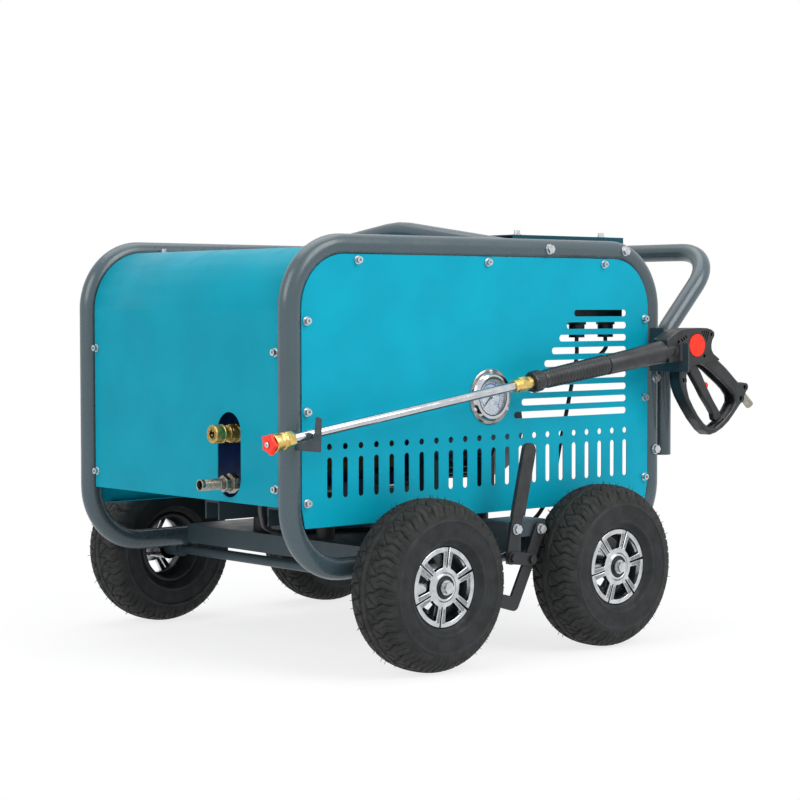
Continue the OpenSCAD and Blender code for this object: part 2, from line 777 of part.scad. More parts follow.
module gauge_needle() {
    color("#202020") at_gauge() {
        translate([0, 0, -3]) cylinder(d = 3, h = 6.5);
        translate([0, 0, 2.2]) cylinder(d = 7, h = 1.3);
        rotate([0, 0, -135]) translate([0, 0, 2.4]) linear_extrude(height = 0.8)
            polygon([[-8, -1.6], [0, -1.4], [dial_r - 7, -0.4], [dial_r - 7, 0.4], [0, 1.4], [-8, 1.6]]);
    }
}

module gauge_lens() {
    color([0.8, 0.9, 0.95, 0.35]) at_gauge() translate([0, 0, 4.6]) cylinder(r = dial_r + 0.9, h = 1.8);
}

gauge_hose_route = [[gauge_at[0], gauge_at[1] + 32.4, gauge_at[2]],
    [gauge_at[0], gauge_at[1] + 62, gauge_at[2]], [gauge_at[0] - 16, gauge_at[1] + 102, gauge_at[2] - 16],
    [manifold_x + manifold_len + 36, -port_y - 4, outlet_z - 4],
    [manifold_x + manifold_len + 10, -port_y, outlet_z - 6],
    [manifold_x + manifold_len + face_gap, -port_y, outlet_z - 6]];

module gauge_hose() {
    color("#222222") at_posts() swept_cable(spline(gauge_hose_route, 5), 7, [0, 0, 1]);
}

// ---- pump ----

module pump_crankcase() {
    r = 30;
    w = crankcase_w;
    h = crankcase_h;
    color("#2743b0") at_posts() translate([crankcase_x, 0, shaft_z]) difference() {
        rotate([90, 0, 90]) linear_extrude(height = crankcase_len) {
            square([w - 2 * r, h], center = true);
            square([w, h - 2 * r], center = true);
            for (y = [-1, 1], z = [-1, 1]) translate([y * (w / 2 - r), z * (h / 2 - r)]) circle(r = r);
        }
        rod_x(12, crankcase_len - 24, 110);
        rod_x(crankcase_len - 20, 30, shaft_d + 2 * run_gap);
    }
    color("#2743b0") at_posts() for (y = [-1, 1], x = [crankcase_x + 12, crankcase_x + crankcase_len - 52])
        translate([x, y * channel_y - 17, foot_z]) difference() {
            cube([40, 34, shaft_z - crankcase_h / 2 + 12 - foot_z]);
            translate([20, 17, -1]) cylinder(d = 9, h = 18);
        }
}

module pump_manifold() {
    low = manifold_z[0];
    high = manifold_z[1];
    y = -port_y - manifold_d / 2;
    color("#b08d3c") at_posts() {
        difference() {
            translate([manifold_x, y, low]) cube([manifold_len, manifold_d, high - low]);
            rod_x(manifold_x - 1, 40, 16, -port_y, outlet_z);
        }
        for (i = [0 : 2]) {
            x = manifold_x + manifold_len * (0.2 + 0.3 * i);
            translate([x, -port_y, high + face_gap]) cylinder(d = 32, h = 12, $fn = 6);
            rod_y(y - 10 - face_gap, 10, 30, x, low + 28);
            rod_y(y + manifold_d + face_gap, -crankcase_w / 2 - y - manifold_d - 2 * face_gap, 36,
                x, (low + high) / 2);
        }
    }
}

module unloader_valve() {
    x = manifold_x - 58;
    color("#b08d3c") at_posts() {
        difference() {
            rod_x(x, 58 - face_gap, 36, -port_y, outlet_z);
            rod_x(x - 1, 20, 17.2, -port_y, outlet_z);
        }
        translate([x + 30, -port_y, outlet_z]) cylinder(d = 26, h = 46);
        translate([x + 30, -port_y, outlet_z + 46]) cylinder(d = 8, h = 20);
    }
    color("#202020") at_posts() translate([x + 22, -port_y - 44, outlet_z - 10]) cube([16, 25.8, 24]);
}

module unloader_knob() {
    x = manifold_x - 28;
    color("#202020") at_posts() translate([x, -port_y, outlet_z + 47]) difference() {
        union() {
            cylinder(d = 34, h = 22);
            for (a = [0 : 45 : 315]) rotate([0, 0, a]) translate([16, 0, 0]) cylinder(d = 7, h = 22);
        }
        translate([0, 0, -1]) cylinder(d = 8 + 2 * run_gap, h = 24);
    }
}

module bell_housing() {
    color("#2743b0") at_posts() translate([0, 0, shaft_z]) difference() {
        union() {
            rod_x(bell_x + face_gap, bell_len - 2 * face_gap, 156);
            rod_x(bell_x + face_gap, 12, 170);
            rod_x(motor_x - 14, 14 - face_gap, motor_d + 8);
        }
        rod_x(bell_x + 10, bell_len, 138);
        rod_x(bell_x - 5, bell_len, shaft_d + 20);
    }
}

// ---- motor ----

module motor_section() {
    circle(r = motor_r - 9);
    for (a = [0 : 12 : 348]) rotate(a) translate([motor_r - 14, -1.5]) square([14, 3]);
}

module motor_body() {
    cavity = motor_r - 36;
    color("#3c4a50") at_posts() translate([0, 0, shaft_z]) {
        difference() {
            union() {
                translate([motor_x + 14, 0, 0]) rotate([90, 0, 90])
                    linear_extrude(height = motor_len - 28) motor_section();
                for (x = [motor_x, fan_x - 14]) rod_x(x, 14, motor_d - 4);
            }
            rod_x(motor_x + 14, motor_len - 28, 2 * cavity);
            rod_x(motor_x - 1, motor_len + 2, shaft_d + 2 * run_gap);
        }
        difference() {
            rod_x(fan_x + face_gap, fan_len, motor_d + 2);
            rod_x(fan_x - 1, fan_len - 2, motor_d - 4);
            for (r = [22 : 12 : motor_r - 16]) translate([fan_x + fan_len - 5, 0, 0]) rotate([0, 90, 0])
                linear_extrude(height = 20) difference() {
                    circle(r = r + 3.5);
                    circle(r = r - 3.5);
                    square([2 * motor_d, 12], center = true);
                    square([12, 2 * motor_d], center = true);
                }
        }
        translate([motor_x + 50, -50, motor_r - 10]) cube([95, 100, 56]);
        for (y = [-1, 1], x = [motor_x + 16, fan_x - 46])
            translate([x, y * channel_y - 17, foot_z - shaft_z]) difference() {
                cube([30, 34, 60]);
                translate([15, 17, -1]) cylinder(d = 9, h = 18);
            }
    }
}

// motor rotor, cooling fan, coupling and the pump's crankshaft, on one axis
module motor_rotor() {
    color("#8a8f94") at_posts() translate([0, 0, shaft_z]) {
        rod_x(crankcase_x + 20, fan_x + 34 - crankcase_x - 20, shaft_d);
        rod_x(motor_x + 24, motor_len - 48, motor_d - 76);
        rod_x(bell_x + 24, 62, 84);
        for (i = [0 : 2]) rotate([120 * i, 0, 0]) translate([0, 8, 0]) rod_x(crankcase_x + 40 + 55 * i, 22, 62);
        difference() {
            rod_x(fan_x + 8, 26, motor_d - 36);
            difference() {
                rod_x(fan_x + 12, 30, motor_d);
                rod_x(fan_x + 12, 30, 50);
                for (a = [0 : 45 : 135]) rotate([a, 0, 0]) translate([fan_x, -2, -motor_d])
                    cube([60, 4, 2 * motor_d]);
            }
        }
    }
}

module motor_rails() {
    color(steel_grey) at_posts() for (y = [-1, 1])
        translate([channel_x, y * channel_y - channel_w / 2, channel_z]) difference() {
            cube([channel_len, channel_w, channel_h]);
            translate([-1, 4, -1]) cube([channel_len + 2, channel_w - 8, channel_h - 3]);
            for (x = mount_x) translate([x - channel_x, channel_w / 2, 0]) cylinder(d = 9, h = 60);
        }
}

module rubber_mounts() {
    top = channel_h - 4;
    color("#1b1b1b") at_posts() for (x = mount_x, y = [-channel_y, channel_y]) translate([x, y, mount_z]) {
        cylinder(d = 30, h = mount_h + top);
        translate([0, 0, -tray_t - 4]) cylinder(d = 8, h = tray_t + 5);
        translate([0, 0, mount_h + top - 1]) cylinder(d = 8, h = 5);
    }
}

// ---- electrics ----

module control_box() {
    d = [box_end - box_x, box_y[1] - box_y[0], box_top_z - box_z];
    wall = 2.5;
    color("#202325") at_posts() translate([box_x, box_y[0], box_z]) difference() {
        cube(d);
        translate([wall, wall, wall]) cube(d - [2 * wall, 2 * wall, 2 * wall]);
        for (x = gland_x) translate([x - box_x, gland_y - box_y[0], -1]) cylinder(d = 20.4, h = 5);
        rod_x(d[0] - wall - 1, 5, 10 + 2 * run_gap, switch_y - box_y[0], switch_z - box_z);
    }
}

module switch_knob() {
    color("#b3221c") at_posts() translate([box_end, switch_y, switch_z]) {
        rod_x(-6, 10, 10);
        difference() {
            rod_x(body_gap, 16, 40);
            for (s = [-1, 1]) translate([body_gap + 6, s * 16 - (s < 0 ? 12 : 0), -25]) cube([20, 12, 50]);
        }
    }
}

module cable_glands() {
    color("#202020") at_posts() for (x = gland_x) translate([x, gland_y, box_z]) difference() {
        union() {
            translate([0, 0, -8 - face_gap]) cylinder(d = gland_d + 3, h = 8, $fn = 6);
            translate([0, 0, -gland_len]) cylinder(d = gland_d - 3, h = gland_len - 8);
            translate([0, 0, -1]) cylinder(d = 20, h = 8);
            translate([0, 0, 3]) cylinder(d = gland_d - 8, h = 5);
        }
        translate([0, 0, -gland_len - 1]) cylinder(d = cable_d + 2 * face_gap, h = 60);
    }
}

cable_d = 7;
tray_lie = tray_top_z + cable_d / 2 + 0.6;
// from the first gland down to the tray, under the motor and up to the pump's pressure switch
switch_route = [[gland_x[0], gland_y, box_z - gland_len + 12], [gland_x[0], gland_y, box_z - gland_len - 6],
    [gland_x[0], gland_y, box_z - 62], [gland_x[0] - 12, gland_y - 4, 440],
    [gland_x[0] - 40, gland_y - 2, 330], [gland_x[0] - 66, gland_y, 240],
    [gland_x[0] - 110, gland_y + 12, 190], [tray_x + 280, gland_y + 45, tray_lie],
    [tray_x + 215, -115, tray_lie], [tray_x + 140, -55, tray_lie], [tray_x + 65, -26, tray_lie],
    [tray_x + 8, -9, tray_lie + 1], [140, -28, 199], [96, -76, 222], [56, -125, 244], [36, -158, 272],
    [44, -176, 310], [74, -180, 326], [manifold_x - 28, -port_y - 36, 338],
    [manifold_x - 28, -port_y - 36, outlet_z - 18], [manifold_x - 28, -port_y - 36, outlet_z - 10.3]];
// from the second gland across to the motor's terminal box
motor_route = [[gland_x[1], gland_y, box_z - gland_len + 12], [gland_x[1], gland_y, box_z - gland_len - 4],
    [gland_x[1], gland_y, box_z - 50], [gland_x[1] - 16, gland_y + 16, box_z - 68],
    [gland_x[1] - 70, gland_y + 60, box_z - 92],
    [gland_x[1] - 118, gland_y + 125, box_z - 84], [motor_x + 145 + 34, -12, shaft_z + motor_r + 24],
    [motor_x + 145 + 12, 0, shaft_z + motor_r + 22], [motor_x + 145 + face_gap, 0, shaft_z + motor_r + 22]];

module switch_cable() {
    color("#1b1b1b") at_posts() {
        swept_cable(spline(switch_route, 4), cable_d, [0.25, 1, 0.2]);
        swept_cable(spline(motor_route, 4), cable_d, [0.3, 0.35, 1]);
    }
}

// ---- hose fittings ----

module inlet_tail() {
    tip = -60.5;
    r = tail_d / 2;
    smooth = 14;
    color("#b9bcc0") at_posts() translate([0, -port_y, inlet_z]) difference() {
        union() {
            rod_x(tip, 70, tail_d - 2);
            rod_x(tip + 3, smooth, tail_d);
            for (i = [0 : 3]) translate([tip + smooth + 4.5 + 6 * i, 0, 0]) rotate([0, 90, 0])
                cylinder(r1 = r, r2 = r - 1.2, h = 5);
            translate([-17, 0, 0]) rotate([0, 90, 0]) cylinder(d = 27, h = 9, $fn = 6);
            rod_x(-8, 4, 22);
            translate([-5, 0, 0]) rotate([0, 90, 0]) cylinder(d = 32, h = 12, $fn = 6);
            rod_x(7, manifold_x + 16 - 7, 20);
            translate([manifold_x + 18, 0, -10]) cylinder(d = 22, h = manifold_z[0] - inlet_z + 10 - face_gap);
        }
        rod_x(tip - 1, manifold_x + 18 - tip, 12);
        translate([manifold_x + 18, 0, 0]) cylinder(d = 12, h = 40);
    }
}

// socket body, hexagon and nipple; the sleeve slides on its front land
module outlet_coupler() {
    front = -37;
    color("#c39b45") at_posts() translate([0, -port_y, outlet_z]) difference() {
        union() {
            rod_x(front, 40, coupler_d - 9);
            rod_x(-8, 5, coupler_d - 3);
            translate([-4, 0, 0]) rotate([0, 90, 0]) cylinder(d = coupler_d, h = 10, $fn = 6);
            rod_x(6, 10, 22);
            translate([9, 0, 0]) rotate([0, 90, 0]) cylinder(d = coupler_d, h = 8, $fn = 6);
            rod_x(16, manifold_x - 58 + 16 - 16, 17);
        }
        rod_x(front - 1, 25, coupler_bore);
        rod_x(front - 1, 200, 7);
    }
}

module coupler_sleeve() {
    color("#c39b45") at_posts() translate([-37, -port_y, outlet_z]) rotate([0, 90, 0]) difference() {
        rotate_extrude() polygon([[0, 0.5], [coupler_d / 2 - 1.5, 0.5], [coupler_d / 2, 2], [coupler_d / 2, 15],
            [coupler_d / 2 - 1, 16], [coupler_d / 2 - 1, 18], [coupler_d / 2, 19], [coupler_d / 2, 21],
            [0, 21]]);
        cylinder(d = coupler_d - 9 + 2 * run_gap, h = 60, center = true);
    }
}

// ---- wheels ----

// a tyre section of width w and height h about the origin, as a rounded square
function tyre_outline(w, h, n) = [for (a = [0 : 15 : 345])
    [h / 2 * sign(cos(a)) * pow(abs(cos(a)), 2 / n), w / 2 * sign(sin(a)) * pow(abs(sin(a)), 2 / n)]];

bead_r = rim_r + 0.4;
carcass_r = bead_r - 12;
carcass_h = tyre_d / 2 - carcass_r;
rim_face = 36;
tread_groove = 4;

// the wheel's axis is Z here, with its outer side up
module tyre_solid() {
    tread = 9;
    side = 12;
    middle = carcass_r + carcass_h / 2;
    rotate_extrude() difference() {
        translate([middle, 0]) polygon(tyre_outline(tyre_w, carcass_h, 2.7));
        translate([middle - tread, 0]) polygon(tyre_outline(tyre_w - 2 * side, carcass_h, 2.5));
        translate([0, -tyre_w]) square([bead_r, 2 * tyre_w]);
        for (s = [-1, 1]) translate([tyre_d / 2 - tread_groove, s * tyre_w * 0.17 - 1.5])
            square([tread_groove + 1, 3]);
    }
}

module rim_window() {
    out = rim_r - 8;
    intersection() {
        difference() {
            circle(r = out);
            circle(r = 30);
        }
        polygon([[12, 0], [out * 1.2, out * 0.46], [out * 1.2, -out * 0.46]]);
    }
}

module rim_solid(phase) {
    barrel = rim_r - 5;
    lip = rim_face;
    difference() {
        union() {
            rotate_extrude() polygon([[barrel - 2.5, -lip], [rim_r, -lip], [rim_r, -lip + 4],
                [barrel, -lip + 9], [barrel, lip - 12], [rim_r, lip - 7], [rim_r, lip - 1],
                [rim_r - 1.5, lip], [rim_r - 7, lip], [rim_r - 8, lip - 1.5], [barrel - 2.5, lip - 4]]);
            rotate_extrude() polygon([[0, lip - 14], [barrel - 1, lip - 12], [barrel - 1, lip - 3],
                [hub_r + 8, lip - 4], [hub_r + 1, lip], [hub_r, hub_out - 1], [hub_r - 1, hub_out],
                [0, hub_out]]);
            translate([0, 0, -hub_in]) cylinder(r = hub_r, h = hub_in + hub_out - 1);
        }
        rotate([0, 0, phase]) for (i = [0 : window_count - 1]) {
            rotate([0, 0, 360 / window_count * (i + 0.5)]) translate([0, 0, lip - 40])
                linear_extrude(height = 60) rim_window();
            rotate([0, 0, 360 / window_count * i]) translate([hub_r + 10, -1.2, lip - 8])
                cube([rim_r, 2.4, 12]);
        }
        translate([0, 0, -100]) cylinder(r = axle_d / 2 + 2, h = 200);
        translate([0, 0, hub_out - 2 - bearing_len - face_gap]) cylinder(r = bearing_r + face_gap, h = 40);
        translate([0, 0, -hub_in - 20 + bearing_len]) cylinder(r = bearing_r + face_gap, h = 20);
    }
    for (z = [hub_out - 2 - bearing_len, -hub_in]) translate([0, 0, z]) difference() {
        cylinder(r = bearing_r, h = bearing_len - face_gap);
        translate([0, 0, -1]) cylinder(r = hub_bore, h = bearing_len + 2);
    }
}

// lays a wheel down at axle i on the near side, outer side towards -Y
module near_wheel(i) {
    translate([axle_x + i * wheel_base, -wheel_y, axle_z]) rotate([90, 0, 0]) children();
}

module tyre_near_front() {
    color("#26272a") at_posts() near_wheel(0) tyre_solid();
}

module tyre_near_rear() {
    color("#26272a") at_posts() near_wheel(1) tyre_solid();
}

module tyre_far_front() {
    color("#26272a") at_posts() mirror([0, 1, 0]) near_wheel(0) tyre_solid();
}

module tyre_far_rear() {
    color("#26272a") at_posts() mirror([0, 1, 0]) near_wheel(1) tyre_solid();
}

module rim_near_front() {
    color("silver") at_posts() near_wheel(0) rim_solid(81);
}

module rim_near_rear() {
    color("silver") at_posts() near_wheel(1) rim_solid(69.5);
}

module rim_far_front() {
    color("silver") at_posts() mirror([0, 1, 0]) near_wheel(0) rim_solid(64);
}

module rim_far_rear() {
    color("silver") at_posts() mirror([0, 1, 0]) near_wheel(1) rim_solid(64);
}

// the screw and washer that hold each wheel on its shaft
module wheel_bolts() {
    y = wheel_y + hub_out + 0.2;
    color("silver") at_posts() near_and_far() for (x = [axle_x, axle_x + wheel_base]) {
        rod_y(y + face_gap, 2.4, 23, x, axle_z);
        translate([x, y + 2.4, axle_z]) rotate([-90, 0, 0]) cylinder(d = 18.5, h = 7, $fn = 6);
        rod_y(y - 24, 28, wheel_screw_d, x, axle_z);
    }
}

// ---- parking brake ----

module brake_bracket() {
    front = -(loop_y + brake_out);
    right = pivot_b[0] + 17;
    gusset_w = [bracket_x + 2, pivot_b[0] - 14];
    back = -(loop_y + tube_r + weld_gap);
    color(steel_grey) at_posts() {
        difference() {
            plate_xz(front, bracket_t) polygon([[bracket_x, bracket_low_z], [bracket_x, bracket_top_z],
                [right, bracket_top_z], [right, pivot_b[1] - 6], [right - 27, bracket_low_z]]);
            for (p = [pivot_a, pivot_b]) rod_y(front - 5, 20, pivot_d + 2 * bolt_gap, p[0], p[1]);
            translate([pivot_a[0] + 16, front - 5, bracket_low_z + 17]) cube([26, 20, 24]);
        }
        translate([bracket_x, front + bracket_t, bracket_top_z - bracket_t])
            cube([right - bracket_x, back - front - bracket_t, bracket_t]);
        for (x = gusset_w) plate_yz(x, bracket_t) polygon([[front + bracket_t, bracket_low_z + 20],
            [front + bracket_t, bracket_top_z - bracket_t], [back, bracket_top_z - bracket_t],
            [back, rail_z - 8], [back - 12, rail_z - 8]]);
    }
}

module brake_lever() {
    y = -(loop_y + lever_y + bar_t);
    top = pivot_a + [lever_lean_x, 123];
    color(steel_grey) at_posts() {
        difference() {
            plate_xz(y, bar_t) {
                bar_2d(pivot_a, pivot_c, bar_w);
                bar_2d(pivot_a, top, bar_w);
            }
            rod_y(y - 1, bar_t + 2, 2 * pivot_hole, pivot_a[0], pivot_a[1]);
        }
        rod_y(-(loop_y + bolt_y), bolt_y - lever_y - 1, pivot_d, pivot_c[0], pivot_c[1]);
        translate([pivot_c[0], -(loop_y + bolt_y + 4), pivot_c[1]]) rotate([-90, 0, 0])
            cylinder(d = 1.85 * pivot_d, h = 4.01, $fn = 6);
    }
}

// a dipped sleeve over the lever's upper part
module brake_grip() {
    y = -(loop_y + lever_y + bar_t);
    low = pivot_a + [lever_lean_x * 0.16, 20];
    top = pivot_a + [lever_lean_x, 123];
    color("#1c1d1f") at_posts() difference() {
        plate_xz(y - 2, bar_t + 4 - lever_back) bar_2d(low, top, bar_w + 4);
        plate_xz(y - face_gap, bar_t + 9) bar_2d(pivot_a, top, bar_w + 2 * face_gap);
        translate([0, y - 10, low[1] - 60]) cube([900, 30, 60]);
    }
}

module brake_link() {
    y = -(loop_y + link_y + 4);
    color(steel_grey) at_posts() difference() {
        plate_xz(y, 4) bar_2d(pivot_c, pivot_d_at, bar_w - 2);
        rod_y(y - 1, 6, 2 * pivot_hole, pivot_c[0], pivot_c[1]);
        rod_y(y - 1, 6, pivot_d + 2.4, pivot_d_at[0], pivot_d_at[1]);
    }
}

module brake_foot() {
    y = -(loop_y + lever_y + bar_t);
    low = [pivot_b[0] - 58, axle_z - 47];
    tip = low + [-21, 6];
    color(steel_grey) at_posts() {
        difference() {
            plate_xz(y, bar_t) {
                bar_2d(pivot_b, pivot_d_at, bar_w);
                bar_2d(pivot_d_at, low, bar_w);
                bar_2d(low, tip, bar_w);
            }
            rod_y(y - 1, bar_t + 2, 2 * pivot_hole, pivot_b[0], pivot_b[1]);
        }
        rod_y(-(loop_y + bolt_y), bolt_y - lever_y - 1, pivot_d, pivot_d_at[0], pivot_d_at[1]);
        translate([pivot_d_at[0], -(loop_y + bolt_y + 4), pivot_d_at[1]]) rotate([-90, 0, 0])
            cylinder(d = 1.85 * pivot_d, h = 4.01, $fn = 6);
    }
}

// ---- lance and gun: u runs along the lance towards the gun, v points up from its axis ----

module at_lance() {
    at_posts() translate([0, -(loop_y + lance_out), hook_z])
        rotate([0, -lance_pitch, lance_yaw]) children();
}

// a cylinder along the lance from u
module rod_u(u, len, d, v = 0) {
    translate([u, 0, v]) rotate([0, 90, 0]) cylinder(d = d, h = len);
}

// a plate of the gun: its outline is [u, v] and it is centred on the lance
module plate_uv(t) {
    translate([0, t / 2, 0]) rotate([90, 0, 0]) linear_extrude(height = t) children();
}

module lance_tube() {
    end = body_u - 60;
    color("#c9ccd0") at_lance() difference() {
        rod_u(tube_u - 8, end - tube_u + 8, lance_d);
        rod_u(tube_u - 9, end - tube_u + 10, lance_d - 3);
    }
}

// brass nut before the grip and brass coupler at the nozzle end
module lance_fittings() {
    color("#c39b45") at_lance() {
        difference() {
            union() {
                rod_u(coupler_u, 36, 21);
                rod_u(coupler_u, 13, 27);
                rod_u(coupler_u + 12, 5, 24);
                rod_u(coupler_u + 16, 6, 26);
                translate([coupler_u + 24, 0, 0]) rotate([0, 90, 0]) cylinder(d = 25, h = 12, $fn = 6);
            }
            rod_u(coupler_u - 1, 8, 20);
            rod_u(coupler_u - 1, 40, plug_d + 2 * run_gap);
            rod_u(tube_u - 8 - face_gap, 20, lance_d + 2 * face_gap);
        }
        difference() {
            union() {
                translate([nut_u, 0, 0]) rotate([0, 90, 0]) cylinder(r1 = 9, r2 = 11, h = 14);
                translate([nut_u + 14, 0, 0]) rotate([0, 90, 0]) cylinder(d = 24, h = 14, $fn = 6);
                rod_u(nut_u + 28, 9.4, 21);
            }
            rod_u(nut_u - 1, 50, lance_d + 2 * face_gap);
        }
    }
}

// red star on a steel nozzle core that plugs into the coupler
module spray_nozzle() {
    color("#c8202c") at_lance() {
        difference() {
            union() {
                translate([nozzle_u + 2, 0, 0]) rotate([0, 90, 0]) linear_extrude(height = 8) {
                    circle(d = 22);
                    for (a = [90 : 72 : 378]) rotate(a) translate([9, 0]) circle(d = 14);
                }
                rod_u(nozzle_u + 9, 7, 16);
            }
            rod_u(nozzle_u - 1, 40, 2 * nozzle_tip_r + 2 * face_gap);
        }
        difference() {
            union() {
                rod_u(nozzle_u, 20, 2 * nozzle_tip_r);
                rod_u(nozzle_u + 16 + face_gap, 17, plug_d);
            }
            rod_u(nozzle_u - 1, 50, 3);
        }
    }
}

// knurled collar turning on the grip's snout
module lance_sleeve() {
    color("#1c1d1f") at_lance() translate([grip_u + body_gap, 0, 0]) rotate([0, 90, 0])
        linear_extrude(height = 22) difference() {
            union() {
                circle(r = 16.5);
                for (a = [0 : 15 : 345]) rotate(a) translate([15.5, 0]) circle(d = 4);
            }
            circle(d = snout_d + 2 * run_gap);
        }
}

module lance_grip() {
    from = grip_u + 24;
    len = body_u - 134 - from;
    ribs = 16;
    color("#1c1d1f") at_lance() difference() {
        union() {
            rod_u(grip_u + body_gap, 30, snout_d);
            translate([from - face_gap, 0, 0]) rotate([0, 90, 0]) cylinder(r1 = 14, r2 = 15.5, h = len);
            for (i = [0 : ribs - 1]) translate([from + len * (i + 0.1) / ribs, 0, 0]) rotate([0, 90, 0])
                cylinder(r = 16.2 + 1.6 * i / ribs, h = len * 0.62 / ribs);
        }
        rod_u(grip_u - 1, 200, lance_d + 2 * face_gap);
    }
}

hinge_uv = [822, -31];
slot_w = 15;
trigger_w = 13.5;

module gun_outline() {
    difference() {
        polygon([[756, 20], [770, 25], [786, 30.5], [800, 31.5], [820, 30.5], [840, 28], [859, 24.5],
            [869, 20.5], [876, 15], [875, 8], [869, 2], [865.5, -6], [865, -14], [869, -22], [880, -31], [892, -42],
            [905, -54], [916, -66], [925, -76], [932, -83], [941, -84.5], [950, -87], [955, -93],
            [953, -100], [947, -107], [941, -115], [928, -125], [913, -136], [897, -147], [880, -155],
            [862, -160], [846, -161], [833, -150], [816, -128], [801, -103], [791, -84], [785.5, -68],
            [784, -52], [786, -38], [792, -21], [756, -20]]);
        finger_hole();
    }
}

module finger_hole() {
    polygon([[820, -36], [812, -40], [803, -46], [800, -57], [800, -70], [803, -87], [811, -104], [822, -123],
        [834, -138], [846, -147], [860, -150.5], [882, -142], [905, -128], [918, -115], [918, -105],
        [909, -92], [897, -80], [880, -65], [866, -52], [850, -40], [838, -34]]);
}

// two joined shells with a slot for the trigger and screws from the near side
module gun_shell() {
    grip_t = gun_t - 10;
    color("#1c1d1f") at_lance() translate([rest_u - 788.3, 0, 0]) {
        difference() {
            union() {
                plate_uv(grip_t) gun_outline();
                plate_uv(gun_t) intersection() {
                    gun_outline();
                    polygon([[750, -22], [792, -22], [806, -34], [850, -34], [892, -36], [960, -36], [960, 40],
                        [750, 40]]);
                }
                translate([622.4, 0, -1]) rotate([0, 90, 0]) cylinder(r1 = 16.5, r2 = 19, h = 134);
                rod_u(700, 70, gun_t, -1);
            }
            rod_u(600, 98, lance_d + 2 * face_gap);
            plate_uv(slot_w) {
                translate(hinge_uv) circle(r = 11.5);
                polygon([[816, -24], [838, -25], [852, -34], [868, -46], [886, -60], [903, -76], [917, -90],
                    [926, -105], [924, -116], [908, -131], [884, -146], [862, -152], [840, -70]]);
            }
            translate([badge_uv[0], -gun_t / 2, badge_uv[1]]) rotate([90, 0, 0])
                translate([0, 0, -2]) cylinder(r = badge_r + face_gap, h = 3);
            for (p = [[784, 12], [868, 12], [845, -22]]) translate([p[0], -gun_t / 2 + 4, p[1]])
                rotate([90, 0, 0]) cylinder(d = 6, h = 10);
            for (p = [[792.5, -56], [947, -94], [934, -112]]) translate([p[0], -grip_t / 2 + 4, p[1]])
                rotate([90, 0, 0]) cylinder(d = 6, h = 10);
            translate([956, 0, -115]) rotate([0, 140.6, 0]) translate([0, 0, -26]) cylinder(d = 15.2, h = 60);
        }
        translate([hinge_uv[0], slot_w / 2 + 2, hinge_uv[1]]) rotate([90, 0, 0])
            cylinder(d = 6, h = slot_w + 4);
    }
}

badge_uv = [828, -0.5];
badge_r = 19.5;

module gun_badge() {
    color("#c8202c") at_lance() translate([rest_u - 788.3 + badge_uv[0], -gun_t / 2, badge_uv[1]])
        rotate([90, 0, 0]) translate([0, 0, -2 + face_gap]) cylinder(r = badge_r, h = 2.6);
}

module trigger_outline() {
    translate(hinge_uv) circle(r = 8.5);
    polygon([[815, -36], [829, -34], [839, -40], [846, -51], [857, -77], [870, -103], [883, -125], [888, -134],
        [884, -140], [872, -142], [867, -138], [866, -127], [859, -115], [846, -95], [835, -74], [821, -50]]);
}

module trigger() {
    color("#26282b") at_lance() translate([rest_u - 788.3, 0, 0]) difference() {
        plate_uv(trigger_w) trigger_outline();
        plate_uv(60) translate(hinge_uv) circle(d = 6 + 2 * run_gap);
        plate_uv(latch_w + 2 * body_gap) polygon([[856, -93], [842, -73], [846, -63], [870, -63], [874, -97]]);
    }
    color("#26282b") at_lance() translate([rest_u - 788.3 + latch_uv[0], trigger_w / 2 - 1, latch_uv[1]])
        rotate([90, 0, 0]) cylinder(d = 3, h = trigger_w - 2);
}

latch_uv = [857, -82];
latch_w = 6;

module trigger_latch() {
    color("#c8202c") at_lance() translate([rest_u - 788.3, 0, 0]) plate_uv(latch_w) difference() {
        union() {
            translate(latch_uv) circle(r = 4);
            polygon([[853.5, -80], [854, -72], [861, -71], [864, -76], [861, -82]]);
        }
        translate(latch_uv) circle(d = 3 + 2 * run_gap);
    }
}

// threaded hose stub out of the grip's lower end
module gun_inlet() {
    color("#c39b45") at_lance() translate([rest_u - 788.3 + 956, 0, -115]) rotate([0, 140.6, 0])
        translate([0, 0, -24]) difference() {
            union() {
                cylinder(d = 14.6, h = 30);
                translate([0, 0, 28]) cylinder(d = 15, h = 16);
            }
            cylinder(d = 8, h = 100, center = true);
        }
}

side_loop_near();
side_loop_far();
base_tray();
axle_shafts();
lift_bar();
push_handle();
hex_bolts();
panel_tabs();
end_cover();
side_panel_near();
side_panel_far();
roof_plate();
panel_screws();
lance_hook();
gun_rest();
gauge_case();
gauge_dial();
gauge_lens();
gauge_needle();
gauge_hose();
pump_crankcase();
pump_manifold();
unloader_valve();
unloader_knob();
bell_housing();
motor_body();
motor_rotor();
motor_rails();
rubber_mounts();
control_box();
switch_knob();
cable_glands();
switch_cable();
inlet_tail();
outlet_coupler();
coupler_sleeve();
wheel_bolts();
tyre_near_front();
tyre_near_rear();
tyre_far_front();
tyre_far_rear();
rim_near_front();
rim_near_rear();
rim_far_front();
rim_far_rear();
brake_bracket();
brake_lever();
brake_grip();
brake_link();
brake_foot();
lance_tube();
lance_fittings();
lance_sleeve();
spray_nozzle();
lance_grip();
gun_shell();
gun_badge();
trigger();
trigger_latch();
gun_inlet();
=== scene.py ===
"""Dresses an electric high pressure washer on a four wheel tube frame.

Every operator below makes or finishes one group of pieces. Lengths are metres; names that end in _mm are
millimetres counted from the uprights at the hose end, as the source of the part counts them.
"""

import math
import random

import bmesh
import bpy
from mathutils import Matrix, Vector


